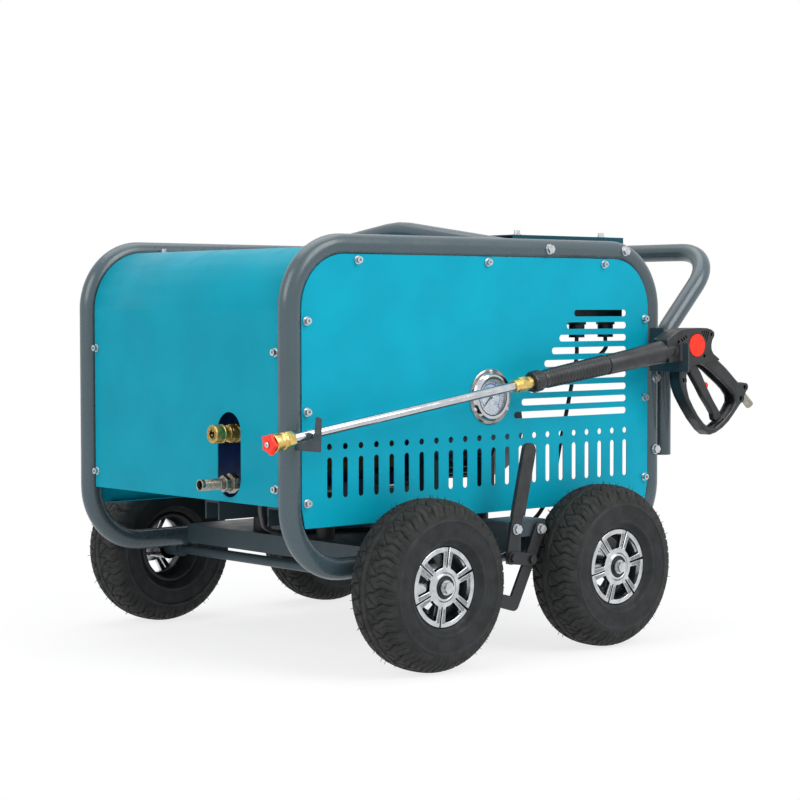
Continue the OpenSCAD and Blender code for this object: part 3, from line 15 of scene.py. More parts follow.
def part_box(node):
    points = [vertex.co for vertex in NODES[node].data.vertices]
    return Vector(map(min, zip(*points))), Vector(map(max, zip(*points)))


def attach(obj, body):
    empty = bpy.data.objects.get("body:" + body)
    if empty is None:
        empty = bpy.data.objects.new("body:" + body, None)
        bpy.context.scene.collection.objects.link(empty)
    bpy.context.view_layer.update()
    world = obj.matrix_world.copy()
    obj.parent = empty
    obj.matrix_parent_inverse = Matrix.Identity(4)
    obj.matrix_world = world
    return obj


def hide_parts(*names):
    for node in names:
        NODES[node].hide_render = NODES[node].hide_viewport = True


bl_info = {
    "name": "Pressure washer dressing",
    "version": (1, 0, 0),
    "blender": (4, 5, 0),
    "location": "3D View > Sidebar > Washer",
    "description": "Paint, rubber, chrome and small fittings of a four wheel pressure washer",
    "category": "Object",
}

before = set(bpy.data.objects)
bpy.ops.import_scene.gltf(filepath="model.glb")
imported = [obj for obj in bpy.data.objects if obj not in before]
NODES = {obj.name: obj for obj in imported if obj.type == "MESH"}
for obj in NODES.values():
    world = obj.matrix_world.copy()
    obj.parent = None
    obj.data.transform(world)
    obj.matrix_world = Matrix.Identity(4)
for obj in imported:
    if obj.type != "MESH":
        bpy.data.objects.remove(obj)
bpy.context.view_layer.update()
TUBE_R = 0.017
POST_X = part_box("side_loop_near")[0].x + TUBE_R


# ---- colours and nodes ----


def srgb(code):
    """A hex colour as the linear values that shaders take; a colour that is linear already stays as it is."""
    if not isinstance(code, str):
        return tuple(code)
    parts = [int(code[i : i + 2], 16) / 255 for i in (1, 3, 5)]
    return tuple(c / 12.92 if c <= 0.04045 else ((c + 0.055) / 1.055) ** 2.4 for c in parts) + (1.0,)


def put(tree, kind, inputs=None, **settings):
    """Adds one node with its properties; inputs give its sockets a value or a socket that feeds them."""
    node = tree.nodes.new(kind)
    for key, value in settings.items():
        setattr(node, key, value)
    for key, value in (inputs or {}).items():
        if isinstance(value, bpy.types.NodeSocket):
            tree.links.new(value, node.inputs[key])
        else:
            node.inputs[key].default_value = value
    return node


class Finish:
    """One material on a Principled shader, with the surface details that are laid over it."""

    def __init__(self, name, colour, rough, sockets):
        self.material = bpy.data.materials.new(name)
        self.material.use_nodes = True
        self.tree = self.material.node_tree
        self.shader = self.tree.nodes["Principled BSDF"]
        self.set("Base Color", srgb(colour))
        self.set("Roughness", rough)
        for key, value in sockets.items():
            self.set(key, value)
        self.coords = put(self.tree, "ShaderNodeTexCoord").outputs["Object"]

    def set(self, socket, value):
        """Sets or feeds one socket of the shader."""
        if isinstance(value, bpy.types.NodeSocket):
            self.tree.links.new(value, self.shader.inputs[socket])
        else:
            self.shader.inputs[socket].default_value = value

    def cloud(self, size_mm, detail, stretch=(1, 1, 1)):
        """Soft noise whose patches are about size_mm across, drawn out along an axis by a smaller stretch."""
        placed = self.coords
        if stretch != (1, 1, 1):
            placed = put(self.tree, "ShaderNodeMapping", {"Vector": placed, "Scale": stretch}).outputs[0]
        inputs = {"Vector": placed, "Scale": 1000 / size_mm, "Detail": detail}
        return put(self.tree, "ShaderNodeTexNoise", inputs).outputs[0]

    def between(self, value, low, high):
        """Maps the middle of a noise's range to low..high."""
        span = {"Value": value, "From Min": 0.35, "From Max": 0.65, "To Min": low, "To Max": high}
        return put(self.tree, "ShaderNodeMapRange", span).outputs[0]

    def tones(self, size_mm, detail, first, second):
        """Base colour that drifts between two colours in patches of that size."""
        patches = self.between(self.cloud(size_mm, detail), 0, 1)
        mix = put(self.tree, "ShaderNodeMix", {0: patches, 6: srgb(first), 7: srgb(second)}, data_type="RGBA")
        self.set("Base Color", mix.outputs[2])

    def gloss(self, size_mm, detail, low, high):
        """Roughness that drifts between two values in patches of that size."""
        self.set("Roughness", self.between(self.cloud(size_mm, detail), low, high))

    def grain(self, size_mm, detail, depth_mm, stretch=(1, 1, 1)):
        """Raises the surface by up to depth_mm in patches of that size."""
        height = self.cloud(size_mm, detail, stretch)
        inputs = {"Height": height, "Strength": 1.0, "Distance": depth_mm / 1000}
        self.set("Normal", put(self.tree, "ShaderNodeBump", inputs).outputs[0])


MADE = {}


def chosen():
    """The sizes and colours that the user has set."""
    return bpy.context.scene.washer


def lighter(colour, share):
    """The colour in linear values, brightened by that share of itself."""
    return tuple(min(1.0, c * (1 + share)) for c in srgb(colour)[:3]) + (1.0,)


def powder_coat(name, colour, rough, peel, sheen):
    """Steel under baked powder coat: an even colour, a soft broad highlight and faint orange peel."""
    if not colour.startswith("#"):
        colour = getattr(chosen(), colour)
    f = Finish(name, colour, rough, {"Specular IOR Level": sheen})
    f.tones(90, 3, colour, lighter(colour, 0.1))
    f.gloss(30, 3, rough - 0.04, rough + 0.06)
    f.grain(3.2, 1, peel)
    return f.material


def surface(name, colour, rough, tones, gloss, grain, sockets=None):
    """A material out of one row of the table of surfaces."""
    f = Finish(name, colour, rough, sockets or {})
    if tones:
        f.tones(*tones)
    if gloss:
        f.gloss(*gloss)
    f.grain(*grain)
    return f.material


def finish(key):
    """The material of that key, made on first use."""
    if key not in MADE:
        MADE[key] = powder_coat(*POWDERS[key]) if key in POWDERS else surface(*SURFACES[key])
    return MADE[key]


# ---- what each surface is and how it was made ----

# Powder coat on steel: the material's name, its colour or the setting that holds it, its roughness, the
# depth of its orange peel in mm and its sheen.
POWDERS = {
    # bent tube under slate powder: glossier than the sheets, so it carries long soft highlights
    "frame": ("powder coated steel tube, slate", "frame_colour", 0.26, 0.05, 0.6),
    # welded tray and rails under dark slate powder, dulled by dust
    "tray": ("powder coated steel tray, dark slate", "#33434a", 0.42, 0.05, 0.35),
    # flat laser cut sheet under teal powder: even and saturated, with little gloss
    "panel": ("powder coated steel sheet, teal", "panel_colour", 0.42, 0.03, 0.12),
    # rolled cover sheet under teal powder, set slightly deeper than the panels' teal as painted shade, since
    # this end is in shade
    "cover": ("powder coated steel cover, teal with painted shade", "cover_colour", 0.42, 0.03, 0.1),
    # roof sheet under teal powder, set deep as painted shade, since its bent edge is seen in shade
    "roof": ("powder coated steel roof, teal in painted shade", "#0b4a58", 0.4, 0.04, 0.2),
    # cut and bent flat steel under dark slate powder
    "bracket": ("powder coated flat steel, dark slate", "#2d3a40", 0.34, 0.05, 0.5),
    # powder coated flat bar, almost black, rubbed to a dull sheen by hands and boots
    "bar": ("powder coated flat bar, black", "#212426", 0.36, 0.05, 0.45),
}
METAL = {"Metallic": 1.0}
# Every other surface: the material's name, its colour and roughness, the drift of its colour as (size in mm,
# detail, two colours) and of its roughness as (size in mm, detail, two values), None where there is none, its
# grain as (size in mm, detail, depth in mm), and the shader's other values.
SURFACES = {
    # bright zinc on turned steel: cool grey with fine lathe lines and slightly clouded gloss
    "zinc": (
        "zinc plated steel", "#c9ccd0", 0.3,
        (5, 2, "#b9bcc1", "#d6d8da"), (4, 3, 0.22, 0.42), (3, 1, 0.01), METAL,
    ),
    # turned and pressed brass: warm yellow with brighter worn edges and fine tool marks
    "brass": (
        "machined brass", "#d9b96c", 0.3,
        (9, 3, "#cfab5a", "#e6cb86"), (12, 2, 0.26, 0.4), (7, 1, 0.01), METAL,
    ),
    # turned brass after years of wet hands: olive gold, duller, still bright on its rims
    "used": (
        "machined brass, used", "#b59a56", 0.34,
        (6, 3, "#9c8447", "#c7ad6a"), (8, 2, 0.26, 0.44), (5, 1, 0.01), METAL,
    ),
    # pressed stainless of the gauge's flange, its colour darkened as painted reflection of the dark
    # surroundings it mirrors, so it shows darker than the chrome rim it surrounds
    "flange": (
        "pressed stainless steel, painted dark reflection", "#8d8c88", 0.16,
        (16, 2, "#6f6e6b", "#a3a29e"), (10, 2, 0.1, 0.24), (14, 2, 0.03), METAL,
    ),
    # forged brass of the pump head, dull, with the die's coarse skin; its brown, darker than brass, is
    # painted shade for the inside of the case
    "forged": (
        "forged brass, darkened for painted shade", "#5c4722", 0.6,
        (12, 3, "#4a381b", "#6b542a"), None, (3, 2, 0.08), {"Metallic": 0.7},
    ),
    # nickel over brass: silver with a warm grey cast, slightly satin
    "nickel": (
        "nickel plated brass", "#9c998c", 0.3,
        (7, 3, "#8e8b7f", "#aaa79b"), (9, 2, 0.24, 0.38), (6, 1, 0.008), METAL,
    ),
    # hard chrome on drawn tube: almost mirror bright, with faint draw lines
    "chrome": (
        "chrome plated steel", "#c3c6ca", 0.1,
        (24, 2, "#bcbfc4", "#cbced1"), (20, 2, 0.07, 0.15), (12, 1, 0.004, (0.1, 1, 1)), METAL,
    ),
    # diamond turned and polished aluminium: bright faces with soft, wavy reflections
    "alloy": (
        "polished cast aluminium", "#c9ccd0", 0.2,
        (14, 2, "#b9bcc0", "#d4d7da"), (9, 3, 0.14, 0.3), (8, 2, 0.03), METAL,
    ),
    # as cast aluminium under clear lacquer: pale grey, dull, with casting grain
    "satin": (
        "satin cast aluminium", "#8f9499", 0.42,
        (5, 3, "#7d8288", "#9da2a7"), None, (0.8, 2, 0.04), METAL,
    ),
    # glass filled nylon from an eroded mould: near black with a fine spark grain and a broad sheen
    "plastic": (
        "moulded nylon, black", "#1b1d1f", 0.42,
        (20, 3, "#17191b", "#212427"), (6, 3, 0.36, 0.52), (0.9, 2, 0.05),
    ),
    # moulded nylon of the gun: near black, fine spark grain, handled to a soft shine
    "gun": (
        "moulded nylon, gun", "#1d1f21", 0.36,
        (26, 3, "#17191b", "#25282b"), (14, 3, 0.28, 0.44), (1.0, 2, 0.05),
    ),
    # injection moulded red plastic with a gloss skin
    "red": (
        "moulded ABS, signal red", "#f0301c", 0.36,
        (8, 2, "#ea2a18", "#f63822"), None, (1.4, 1, 0.02), {"Specular IOR Level": 0.3},
    ),
    # moulded natural rubber compound: charcoal with a green-grey bloom, dull and slightly dusty
    "tread": (
        "moulded rubber, tread", "#252625", 0.68,
        (16, 4, "#1f2020", "#2e302e"), (7, 3, 0.6, 0.8), (1.3, 3, 0.08), {"Specular IOR Level": 0.25},
    ),
    # moulded rubber sidewall: bluish charcoal with a smoother, faintly waxed skin
    "wall": (
        "moulded rubber, sidewall", "#232526", 0.5,
        (22, 3, "#1f2122", "#2a2d2f"), (10, 3, 0.46, 0.64), (1.6, 2, 0.05), {"Specular IOR Level": 0.24},
    ),
    # PVC plastisol dipped over the bar: black, soft, with a rounded satin skin
    "dip": ("dipped vinyl, black", "#1f2224", 0.5, (14, 3, "#1a1c1e", "#272a2d"), None, (2.4, 2, 0.08)),
    # extruded rubber jacket: matt black with a fine skin
    "rubber": (
        "extruded rubber, black", "#191a1c", 0.55,
        (12, 3, "#151618", "#202224"), None, (1.0, 2, 0.04),
    ),
    # sprayed gloss enamel over cast iron: blue with the casting's texture under it, darkened to a deep navy
    # as painted shade for the inside of the case
    "blue": (
        "enamelled cast iron, blue darkened for painted shade", "#0b1a4c", 0.36,
        (30, 3, "#081236", "#102362"), None, (3, 3, 0.12), {"Coat Weight": 0.3, "Coat Roughness": 0.15},
    ),
    # sprayed satin enamel over finned aluminium: dark grey-blue
    "motor": (
        "enamelled aluminium, motor", "#33434d", 0.45,
        (25, 3, "#2c3b45", "#3b4c57"), None, (2, 3, 0.08),
    ),
    # ground steel: mid grey with fine turning marks
    "steel": ("ground steel", "#9a9da1", 0.32, (6, 3, "#8a8d92", "#a8abaf"), None, (0.8, 2, 0.02), METAL),
    # painted shade: near black inside the pressed barrel of the rim, standing in for the shade inside the
    # wheel that the windows show, with a dull sheen
    "barrel": ("rim barrel, black for painted shade", "#141617", 0.5, (20, 3, "#0f1112", "#1a1d1f"), None, (2, 2, 0.05)),
    # printed dial: stoved off-white enamel on aluminium, dead flat
    "dial": ("stoved enamel, dial", "#d6e1f2", 0.5, (18, 2, "#d0ddf1", "#dde7f6"), None, (1.2, 2, 0.01)),
    # pad printed black ink, slightly grey and matt
    "ink": ("printed ink, black", "#1d2022", 0.55, (2, 2, "#0f1011", "#1a1c1e"), None, (0.6, 1, 0.005)),
    # flat polished window glass: clear, with a thin green-grey cast and sharp reflections
    "glass": (
        "float glass, clear", "#f1f6f5", 0.03,
        None, (25, 2, 0.02, 0.06), (30, 1, 0.01), {"Transmission Weight": 1.0, "IOR": 1.5, "Alpha": 0.3},
    ),
    # pad printed blue ink of the dial's scale band
    "scale": ("printed ink, blue", "#2f68c0", 0.5, (2, 2, "#2a5fb6", "#3a74cc"), None, (0.6, 1, 0.005)),
    # painted shade: near black and matt, standing in for the unlit hollows inside screw pockets and vents
    "inside": (
        "painted shade in pockets and vents", "#070708", 0.8,
        (6, 2, "#050506", "#0a0a0b"), None, (1.0, 1, 0.02), {"Specular IOR Level": 0.1},
    ),
}

# which finish each solid of the part shows
WEARS = {
    "frame": ["side_loop_near", "side_loop_far", "lift_bar", "push_handle"],
    "tray": ["base_tray", "motor_rails", "axle_shafts"],
    "panel": ["side_panel_near", "side_panel_far"],
    "cover": ["end_cover"],
    "roof": ["roof_plate"],
    "bracket": ["panel_tabs", "lance_hook", "gun_rest", "brake_bracket"],
    "bar": ["brake_lever", "brake_link", "brake_foot"],
    "zinc": ["hex_bolts", "panel_screws", "wheel_bolts"],
    "brass": ["lance_fittings"],
    "used": ["outlet_coupler", "coupler_sleeve"],
    "forged": ["pump_manifold", "unloader_valve"],
    "nickel": ["inlet_tail", "gun_inlet"],
    "chrome": ["gauge_case", "lance_tube"],
    "alloy": ["rim_near_front", "rim_near_rear", "rim_far_front", "rim_far_rear"],
    "plastic": ["unloader_knob", "cable_glands", "control_box"],
    "gun": ["lance_sleeve", "lance_grip", "gun_shell", "trigger"],
    "red": ["spray_nozzle", "gun_badge", "trigger_latch", "switch_knob"],
    "wall": ["tyre_near_front", "tyre_near_rear", "tyre_far_front", "tyre_far_rear"],
    "dip": ["brake_grip"],
    "rubber": ["gauge_hose", "switch_cable", "rubber_mounts"],
    "blue": ["pump_crankcase", "bell_housing"],
    "motor": ["motor_body"],
    "steel": ["motor_rotor"],
    "dial": ["gauge_dial"],
    "ink": ["gauge_needle"],
    "glass": ["gauge_lens"],
}


# sheet and flat steel whose cut edges are eased
CUT_SHEETS = [
    "side_panel_near", "side_panel_far", "end_cover", "roof_plate", "base_tray", "panel_tabs",
    "lance_hook", "gun_rest", "brake_bracket", "brake_lever", "brake_link", "brake_foot",
]


# ---- mesh helpers ----


def ease(obj, radius):
    """Rounds the sharp edges of a solid of the part by that radius; its own mesh stays as it was."""
    weld = obj.modifiers.new("weld", "WELD")
    weld.merge_threshold = 0.00001
    flat = obj.modifiers.new("join flats", "DECIMATE")
    flat.decimate_type = "DISSOLVE"
    flat.angle_limit = math.radians(1)
    bevel = obj.modifiers.new("ease edges", "BEVEL")
    bevel.width = radius
    bevel.segments = 2
    bevel.limit_method = "ANGLE"
    bevel.angle_limit = math.radians(50)
    bevel.harden_normals = True


def moved(x_mm, y_mm, z_mm):
    return Matrix.Translation((x_mm / 1000, y_mm / 1000, z_mm / 1000))


def spun(degrees, axis):
    return Matrix.Rotation(math.radians(degrees), 4, axis)


def made(name, bm):
    """The mesh that bm holds, which is freed."""
    mesh = bpy.data.meshes.new(name)
    bm.to_mesh(mesh)
    bm.free()
    return mesh


def baked(name, data, wall_mm=0.0):
    """The mesh of a curve or text, with a wall of that thickness inside it; the curve or text is removed."""
    obj = bpy.data.objects.new(name, data)
    bpy.context.scene.collection.objects.link(obj)
    if wall_mm:
        skin = obj.modifiers.new("wall", "SOLIDIFY")
        skin.thickness = wall_mm / 1000
        skin.offset = -1
    bpy.context.view_layer.update()
    mesh = bpy.data.meshes.new_from_object(obj.evaluated_get(bpy.context.evaluated_depsgraph_get()))
    bpy.data.objects.remove(obj)
    bpy.data.curves.remove(data)
    mesh.materials.clear()
    return mesh


def at(x_mm, y_mm, z_mm):
    """A point given in millimetres from the hose end uprights, in the frame's metres."""
    return Vector((x_mm / 1000 + POST_X, y_mm / 1000, z_mm / 1000))


def piece(name, mesh, finishes, body, replaced=()):
    """Links a mesh as a piece that rides on a body, with its finishes, and hides the solids of the part that
    it replaces.
    """
    obj = bpy.data.objects.new(name, mesh)
    bpy.context.scene.collection.objects.link(obj)
    for key in finishes:
        obj.data.materials.append(finish(key))
    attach(obj, body)
    if replaced:
        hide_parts(*replaced)
    return obj


def shade_smooth(mesh, angle=35):
    """Smooth shading with edges sharper than the angle kept crisp."""
    mesh.polygons.foreach_set("use_smooth", [True] * len(mesh.polygons))
    mesh.set_sharp_from_angle(angle=math.radians(angle))


# ---- wheels ----

WHEEL_Y_MM = 360.0
AXLE_X_MM = (200.0, 582.0)
TYRE_R = 133.0
TYRE_HALF = 47.5
# the tyre is widest at this radius, and its section is a superellipse of this power about it
TYRE_MID_R = 91.7
TYRE_POWER = 2.7
# the tread's pattern comes round this often, each time in so many steps
PITCHES = 34
PITCH_STEPS = 16
# the axle and side of each wheel, and how far its rim is turned in degrees
WHEELS = {
    "near_front": (0, -1, 81),
    "near_rear": (1, -1, 69.5),
    "far_front": (0, 1, 64),
    "far_rear": (1, 1, 64),
}


def soft_step(value, low, high):
    """0 below low, 1 above high and a smooth rise between them."""
    t = min(1.0, max(0.0, (value - low) / (high - low)))
    return t * t * (3 - 2 * t)


def groove(distance, half_width, edge=0.9):
    """1 in the middle of a groove, 0 on the block beside it."""
    return 1 - soft_step(distance, half_width, half_width + edge)


def tread_depth(turn, side_mm):
    """How deep the tread is cut, in mm, at a turn counted in pitches and a place across the tyre."""
    t = abs(side_mm)
    u = turn if side_mm >= 0 else 0.37 - turn
    pitch_mm = 2 * math.pi * TYRE_R / PITCHES
    wave = abs((u % 1.0) - 0.5) * 2
    deep = 4.6 * groove(abs(t - 6.2 - 0.9 * wave), 1.0)
    if 6 < t < 25:
        run = (t - 7.5) / 17
        for line in (0.72 * run, 1 - 0.14 * run):
            gap = abs(((u - line) + 0.5) % 1.0 - 0.5) * pitch_mm
            deep = max(deep, 4.4 * groove(gap, 0.7))
    if t >= 24:
        kink = 0.8 - 0.22 * min(1, (t - 24) / 10) + 0.3 * max(0, (t - 34) / 12)
        gap = abs(((u - kink) + 0.5) % 1.0 - 0.5) * pitch_mm
        deep = max(deep, 4.4 * groove(gap, 1.0))
        if 27 < t < 43:
            gap = abs(((u - kink - 0.5) + 0.5) % 1.0 - 0.5) * pitch_mm
            deep = max(deep, 2.6 * groove(gap, 0.55))
    if t > 43:
        notch = 1.5 * groove(abs((u * 4 % 1.0) - 0.5) * pitch_mm / 4, 0.9)
        deep = max(deep, notch) * (1 - soft_step(t, 46.4, 47.2))
    return deep * soft_step(TYRE_HALF - t, 0.0, 1.2)


def bulge(share):
    """Height of the tyre's section, 1 in the middle and 0 at a share of 1 to either side."""
    return max(0.0, 1 - abs(share) ** TYRE_POWER) ** (1 / TYRE_POWER)


def crown(side_mm):
    """Radius of the uncut tread across the tyre."""
    return TYRE_MID_R + (TYRE_R - TYRE_MID_R) * bulge(side_mm / TYRE_HALF)


def wall_out(radius_mm):
    """How far the sidewall stands out at a radius, with its moulded rings and the hollow beside the rim."""
    flat = TYRE_HALF * bulge((radius_mm - TYRE_MID_R) / (TYRE_R - TYRE_MID_R))
    flat += 1.0 * groove(abs(radius_mm - 101.5), 0.5, 1.6) + 0.9 * groove(abs(radius_mm - 73.5), 0.7, 1.4)
    flat -= 0.6 * soft_step(radius_mm, 75, 78) * (1 - soft_step(radius_mm, 97, 100))
    return flat - 4.4 * (1 - soft_step(radius_mm, 65.5, 72.5))


# radii at which the sidewall has a ring of points, close together at its moulded rings
WALL_RADII = [
    106, 104.5, 103.2, 102.3, 101.5, 100.6, 99.4, 97.5, 95, 91, 87, 83, 80, 77.5, 75.6, 74.6, 73.8,
    73.2, 72.2, 70.6, 69, 67.4, 66, 64.6, 63.4, 62.6,
]


def tyre_rings():
    """Places across the tyre from the inner bead to the outer one, as (radius, side, cut by the tread)."""
    half = [(crown(i * 1.36), i * 1.36, True) for i in range(1, 33)]
    half += [(radius, wall_out(radius), False) for radius in WALL_RADII if radius < half[-1][0] - 0.8]
    inner = [(r, -s, cut) for r, s, cut in reversed(half)]
    return inner + [(crown(0), 0.0, True)] + half


def tyre_mesh():
    """The whole tyre about the Z axis, its outer wall up."""
    steps = PITCHES * PITCH_STEPS
    rings = tyre_rings()
    bm = bmesh.new()
    rows = []
    for k in range(steps):
        angle = 2 * math.pi * k / steps
        c, s = math.cos(angle), math.sin(angle)
        row = []
        for radius, across, cut in rings:
            if cut:
                radius -= tread_depth(k / PITCH_STEPS, across)
            row.append(bm.verts.new((radius * c / 1000, radius * s / 1000, across / 1000)))
        rows.append(row)
    for k in range(steps):
        a, b = rows[k], rows[(k + 1) % steps]
        for i in range(len(rings) - 1):
            face = bm.faces.new((a[i], b[i], b[i + 1], a[i + 1]))
            face.material_index = 0 if rings[i][2] or rings[i + 1][2] else 1
            face.smooth = True
    add_hairs(bm)
    return made("tyre", bm)


# rows of vent hairs across the tyre, the share that is worn off, and the half angle that stands on the floor
HAIR_ROWS = (-41, -30, -17, -3, 3, 17, 30, 41)
HAIRS_LOST = 0.25
STANDING = 0.42


def add_hairs(bm):
    """Vent hairs left by the mould stand out of the tread, but not where the tyre stands."""
    rng = random.Random(11)
    for across in HAIR_ROWS:
        for k in range(PITCHES):
            if rng.random() < HAIRS_LOST:
                continue
            angle = 2 * math.pi * (k + rng.uniform(0.1, 0.9)) / PITCHES
            if abs((angle - 1.5 * math.pi + math.pi) % (2 * math.pi) - math.pi) < STANDING:
                continue
            length = rng.uniform(4.5, 9.0)
            base = crown(across) - 0.8
            lean = rng.uniform(-0.5, 0.5)
            out = Vector((math.cos(angle), math.sin(angle), 0))
            along = Vector((-math.sin(angle), math.cos(angle), 0))
            root = out * base + Vector((0, 0, across))
            tip = root + (out + along * lean + Vector((0, 0, rng.uniform(-0.3, 0.3)))).normalized() * length
            across_dir = along.cross(out)
            ring = []
            for point, r in ((root, 0.55), (root.lerp(tip, 0.6) + along * lean * 0.6, 0.45)):
                turns = [along * math.cos(a) + across_dir * math.sin(a) for a in (0, 2.094, 4.189)]
                ring.append([bm.verts.new((point + turn * r) / 1000) for turn in turns])
            end = bm.verts.new(tip / 1000)
            for i in range(3):
                j = (i + 1) % 3
                bm.faces.new((ring[0][i], ring[0][j], ring[1][j], ring[1][i]))
                bm.faces.new((ring[1][i], ring[1][j], end))


def rounded(points, radii):
    """A polygon's points with each corner turned into an arc of its own radius, in mm."""
    out = []
    n = len(points)
    for i, point in enumerate(points):
        p = Vector(point)
        a, b = Vector(points[i - 1]) - p, Vector(points[(i + 1) % n]) - p
        r = radii[i] if isinstance(radii, (list, tuple)) else radii
        angle = a.angle(b)
        if r <= 0 or abs(math.pi - angle) < 0.02:
            out.append((p.x, p.y))
            continue
        cut = min(r / math.tan(angle / 2), a.length * 0.48, b.length * 0.48)
        r = cut * math.tan(angle / 2)
        centre = p + (a.normalized() + b.normalized()).normalized() * (r / math.sin(angle / 2))
        start, end = p + a.normalized() * cut - centre, p + b.normalized() * cut - centre
        turn = start.angle_signed(end)
        steps = max(2, int(abs(turn) / 0.3))
        for k in range(steps + 1):
            out.append(tuple(centre + Matrix.Rotation(-turn * k / steps, 2) @ start))
    return out


def slab(name, outlines, thick, bevel, resolution=2):
    """A plate about z = 0 cut to outlines in mm, the later ones holes, with all its edges rounded."""
    curve = bpy.data.curves.new(name, "CURVE")
    curve.dimensions = "2D"
    curve.fill_mode = "BOTH"
    curve.extrude = max(0.00001, thick / 2 - bevel) / 1000
    curve.bevel_depth = bevel / 1000
    curve.offset = -bevel / 1000
    curve.bevel_resolution = resolution
    for points in outlines:
        spline = curve.splines.new("POLY")
        spline.points.add(len(points) - 1)
        for target, (x, y) in zip(spline.points, points):
            target.co = (x / 1000, y / 1000, 0, 1)
        spline.use_cyclic_u = True
    return baked(name, curve)


def lathe(bm, profile, steps=96, matrix=Matrix.Identity(4), material=0):
    """Turns a profile of (radius, height) in mm about the Z axis into bm; points of radius 0 meet in one."""
    rows = []
    for k in range(steps):
        a = 2 * math.pi * k / steps
        row = []
        for i, (r, h) in enumerate(profile):
            if r > 0.001 or k == 0:
                point = Vector((r * math.cos(a) / 1000, r * math.sin(a) / 1000, h / 1000))
                row.append(bm.verts.new(matrix @ point))
            else:
                row.append(rows[0][i])
        rows.append(row)
    for k in range(steps):
        a, b = rows[k], rows[(k + 1) % steps]
        for i in range(len(profile) - 1):
            corners = [a[i], b[i], b[i + 1], a[i + 1]]
            corners = [v for n, v in enumerate(corners) if v not in corners[:n]]
            if len(corners) > 2:
                face = bm.faces.new(corners)
                face.material_index = material
                face.smooth = True


def add_mesh(bm, mesh, matrix, material):
    """Adds a copy of a mesh to bm, placed by matrix, all of it in one material."""
    faces = len(bm.faces)
    verts = len(bm.verts)
    bm.from_mesh(mesh)
    bm.verts.ensure_lookup_table()
    bm.faces.ensure_lookup_table()
    for vert in bm.verts[verts:]:
        vert.co = matrix @ vert.co
    for face in bm.faces[faces:]:
        face.material_index = material
        face.smooth = True


def polar(radius, degrees):
    return (radius * math.cos(math.radians(degrees)), radius * math.sin(math.radians(degrees)))


def arc(radius, start, end, steps):
    """Points of an arc about the origin, from one angle in degrees to another."""
    return [polar(radius, start + (end - start) * k / steps) for k in range(steps + 1)]


HUB_R = 30.5
WINDOW_R = 53.6
FACE_R = 61.4
SPOKE_ARM = 12 * math.sin(math.radians(25.2))


def rim_window(middle):
    """One window between two spokes: a wide arc at the ring and a rounded narrow end at the hub."""
    wide, narrow = (25.2 - math.degrees(math.asin(SPOKE_ARM / radius)) for radius in (WINDOW_R, HUB_R))
    outer = arc(WINDOW_R, middle - wide, middle + wide, 10)
    inner = arc(HUB_R, middle + narrow, middle - narrow, 4)
    return rounded(outer + inner, [1.5] + [0] * 9 + [1.5] + [6.5] + [0] * 3 + [6.5])


def rim_face():
    """The perforated front of the rim: ring, six slotted spokes and the web round the hub."""
    slot = 1.15
    outline = []
    for i in range(6):
        middle = 60 * i
        wide, deep = math.degrees(slot / FACE_R), math.degrees(slot / HUB_R)
        outline += arc(FACE_R, middle - 60 + wide, middle - wide, 18)
        outline += [polar(HUB_R, middle - deep), polar(HUB_R - 0.9, middle), polar(HUB_R, middle + deep)]
    windows = [rim_window(60 * i + 30) for i in range(6)]
    return slab("rim_face", [outline] + windows + [arc(19.0, 0, 352.5, 47)], 9.0, 0.9)


def rim_pads():
    """The slightly sunk satin fields of the spokes, one each side of every slot."""
    pads = []
    near, far, edge = 33.0, 59.0, 2.6
    for i in range(6):
        for s in (-1, 1):
            middle = 60 * i
            corners = [
                (near, math.degrees(edge / near)), (far - 4, math.degrees(edge / far)),
                (far - 4, 9.2), (43.5, 9.6), (near, 11.4),
            ]
            pads.append(rounded([polar(radius, middle + s * turn) for radius, turn in corners], 1.4))
    return pads


RIM_BOSS = [
    (17.6, -30), (17.6, 37.2), (18.3, 38), (20.4, 38), (21.3, 37.2), (21.6, 36.4),
    (23.5, 35.9), (23.5, 30), (21.5, 28), (21.5, -30),
]
RIM_SEAL = [
    (8.8, 34.8), (9.6, 36), (11.4, 36), (11.9, 35.5), (15.6, 35.5), (16.1, 36), (17.2, 36), (17.7, 35),
]
RIM_BARREL = [
    (54.0, 27.5), (54.2, 9), (49.5, 7), (48.5, 5.5), (48.5, -2), (54.2, -5), (54.2, -36), (62, -36),
    (62, -32), (57, -27), (57, 24), (61.8, 29), (62.2, 34.6), (61.5, 34.9),
]
# the middles of the front face and of the pads on it, and where the valve stands
FACE_HEIGHT = 31.5
PAD_HEIGHT = 35.7
VALVE_PLACE = (*polar(41, 226), 6)
VALVE_LEAN = 0.25
VALVE = [(0, 24), (2.6, 24), (3.2, 23.2), (3.2, 14), (3.9, 13), (4.2, 0), (0, 0)]


def rim_mesh(phase):
    """Rim, dark barrel, bearing seal and valve about the Z axis, the outer side up."""
    bm = bmesh.new()
    add_mesh(bm, rim_face(), moved(0, 0, FACE_HEIGHT) @ spun(phase, "Z"), 0)
    for outline in rim_pads():
        add_mesh(bm, slab("pad", [outline], 1.0, 0.3), moved(0, 0, PAD_HEIGHT) @ spun(phase, "Z"), 1)
    lathe(bm, RIM_BOSS, 72)
    lathe(bm, RIM_SEAL, 72, material=3)
    # painted shade: the barrel is near black for the shade inside the wheel
    lathe(bm, RIM_BARREL, 96, material=2)
    stem = moved(*VALVE_PLACE) @ Matrix.Rotation(VALVE_LEAN, 4, "X")
    lathe(bm, VALVE, 20, matrix=stem, material=3)
    return made("rim", bm)


